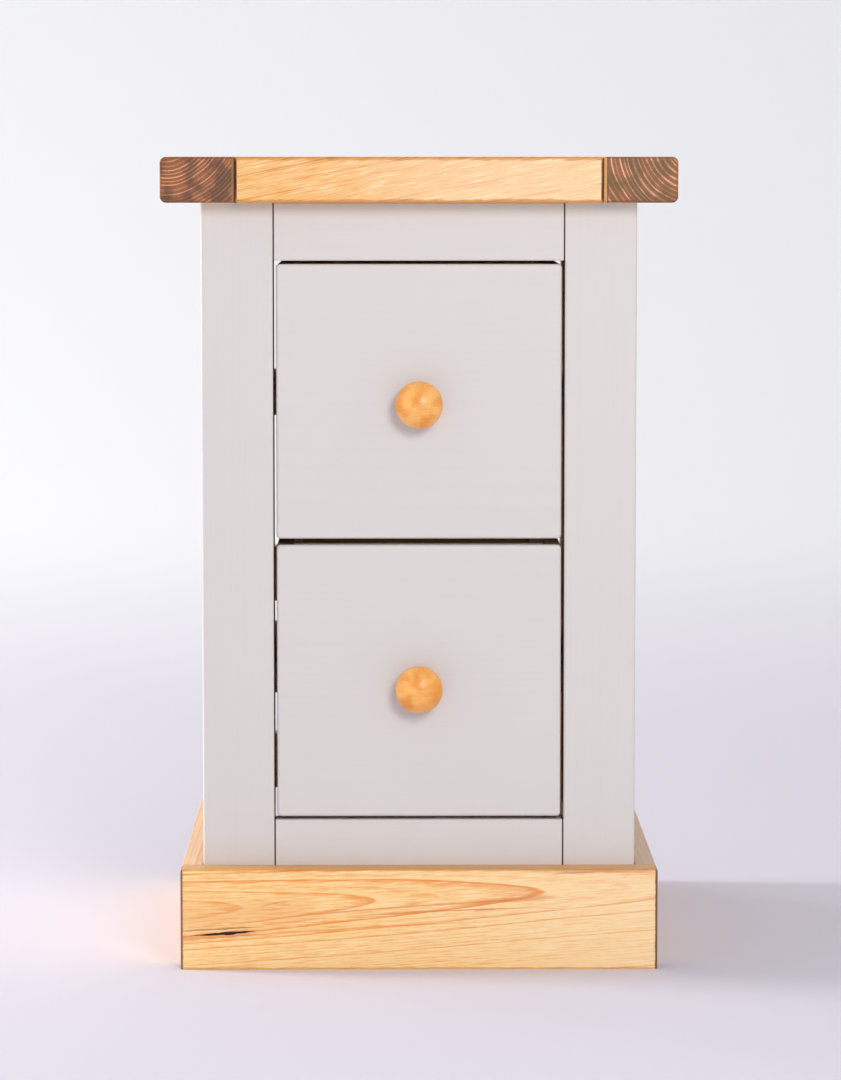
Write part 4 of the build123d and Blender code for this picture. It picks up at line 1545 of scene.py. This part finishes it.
@dataclass
class Hardware:
    """The screws and dowels, which show only at their heads."""

    screw_sides: int = 24
    dowel_sides: int = 48
    first_seed: int = 40

    def build(self) -> None:
        """Makes every screw and dowel."""
        zinc, screw_tree = ZINC_PLATE.material(), ScrewTree()
        nodes = sorted(node for node in frame["nodes"] if node.endswith(("_screw", "_screws")))
        for index, node in enumerate(nodes):
            found = fasteners(node)
            places = [(item.head, item.aim) for item in found]
            screws = screw_tree.build(f"{node}_threaded", places, zinc, Sides=self.screw_sides,
                                      Seed=self.first_seed + index, Length=found[0].length)
            install(screws, *body_of(frame["nodes"][node]), "zinc_screws", node)
        found = fasteners("plinth_dowels")
        places = [(item.middle, item.aim) for item in found]
        dowels = DowelTree().build("plinth_dowels_fluted", places, RAW_BEECH.material(),
                                   Sides=self.dowel_sides, Seed=self.first_seed, Length=found[0].length)
        install(dowels, *body_of(frame["nodes"]["plinth_dowels"]), "beech_dowels", "plinth_dowels")


@dataclass(frozen=True)
class SoftBox:
    """A studio lamp behind a square of diffusing cloth."""

    name: str
    place: Point
    target: Point
    width: float
    height: float
    watts: float
    mirrored: bool = False

    def build(self) -> None:
        """Hangs the lamp, out of the camera's sight and, where it isn't mirrored, out of reflections too."""
        lamp = bpy.data.lights.new(self.name, "AREA")
        lamp.shape = "RECTANGLE"
        lamp.size, lamp.size_y = self.width, self.height
        lamp.energy = self.watts
        item = linked(self.name, lamp)
        item.location = self.place
        item.rotation_euler = (Vector(self.target) - item.location).to_track_quat("-Z", "Y").to_euler()
        item.visible_camera = False
        item.visible_glossy = self.mirrored


@dataclass
class Studio:
    """A pale seamless backdrop all round, soft lamps, and the camera of the photograph."""

    floor_rings: tuple[float, ...] = (0.6, 1.5, 2.6)
    floor_radius: float = 3.6
    cove_radius: float = 5.0
    wall_height: float = 6.0
    sides: int = 96
    cove_steps: int = 12
    camera_place: Point = (-0.0198, -3.184, 0.594)
    camera_pitch: float = 5.226
    camera_yaw: float = 0.398
    lens_mm: float = 136.67
    sensor_mm: float = 36.0
    lamps: tuple[SoftBox, ...] = (
        SoftBox("key_softbox", (0.78, -2.8, 1.45), (0.0, -0.1, 0.3), 0.9, 0.9, 34.0, mirrored=True),
        SoftBox("camera_softbox", (-0.2, -3.7, 0.9), (0.0, -0.1, 0.3), 1.2, 1.2, 1.0),
        SoftBox("side_softbox", (-2.6, 0.35, 1.0), (0.0, 0.1, 0.2), 0.6, 1.2, 70.0),
        SoftBox("wall_softbox", (-3.2, 2.5, 3.0), (-0.5, 6.5, 1.1), 2.0, 1.5, 104.0),
        SoftBox("rear_floor_softbox", (0.0, 3.0, 4.0), (0.0, 3.0, 0.0), 3.0, 3.0, 3.0),
    )
    world_colour: str = "#F6F6F8"
    world_strength: float = 0.65

    def build(self) -> None:
        """Sets the stage."""
        self.bowl()
        for lamp in self.lamps:
            lamp.build()
        world = bpy.data.worlds.new("studio_air")
        world.use_nodes = True
        background = world.node_tree.nodes["Background"]
        background.inputs["Color"].default_value = linear(self.world_colour)
        background.inputs["Strength"].default_value = self.world_strength
        bpy.context.scene.world = world
        self.camera()
        bpy.context.scene.view_settings.view_transform = "Standard"
        bpy.context.scene.view_settings.look = "None"

    def outline(self) -> list[tuple[float, float]]:
        """Draws the backdrop's outline.

        Returns:
            Its radii and heights, from the middle of the floor to the top of the wall.
        """
        cove = [
            (self.floor_radius + self.cove_radius * math.sin(angle), self.cove_radius * (1 - math.cos(angle)))
            for angle in (math.pi / 2 * step / self.cove_steps for step in range(self.cove_steps + 1))
        ]
        top = (self.floor_radius + self.cove_radius, self.wall_height)
        return [*((radius, 0.0) for radius in self.floor_rings), *cove, top]

    def bowl(self) -> None:
        """Makes the floor and the wall in one seamless sheet."""
        mesh = bpy.data.meshes.new("studio_bowl")
        angles = [math.tau * index / self.sides for index in range(self.sides)]
        circle = [(math.cos(angle), math.sin(angle)) for angle in angles]
        with reshaping(mesh) as form:
            middle = form.verts.new((0.0, 0.0, 0.0))
            rings = [
                [form.verts.new((radius * x, radius * y, height)) for x, y in circle]
                for radius, height in self.outline()
            ]
            for index in range(self.sides):
                after = (index + 1) % self.sides
                form.faces.new((middle, rings[0][index], rings[0][after]))
                for inner, outer in zip(rings, rings[1:]):
                    form.faces.new((inner[index], outer[index], outer[after], inner[after]))
        mesh.shade_smooth()
        mesh.materials.append(SeamlessPaper().material())
        linked("studio_bowl", mesh)

    def camera(self) -> None:
        """Places the camera where the photograph was taken from."""
        data = bpy.data.cameras.new("photo_camera")
        data.lens = self.lens_mm
        data.sensor_width = self.sensor_mm
        data.dof.use_dof = False
        item = linked("photo_camera", data)
        item.location = self.camera_place
        item.rotation_euler = (math.radians(90.0 - self.camera_pitch), 0.0, math.radians(-self.camera_yaw))
        bpy.context.scene.camera = item


def main() -> None:
    """Builds the cabinet's looks and the studio round it."""
    logging.basicConfig(level=logging.INFO, format="%(message)s")
    drawers = (Drawer("upper_drawer", 11), Drawer("lower_drawer", 12))
    for part in (Top(), Carcass(), Plinth(), *drawers, Hardware(), Studio()):
        part.build()


if __name__ == "__main__":
    main()
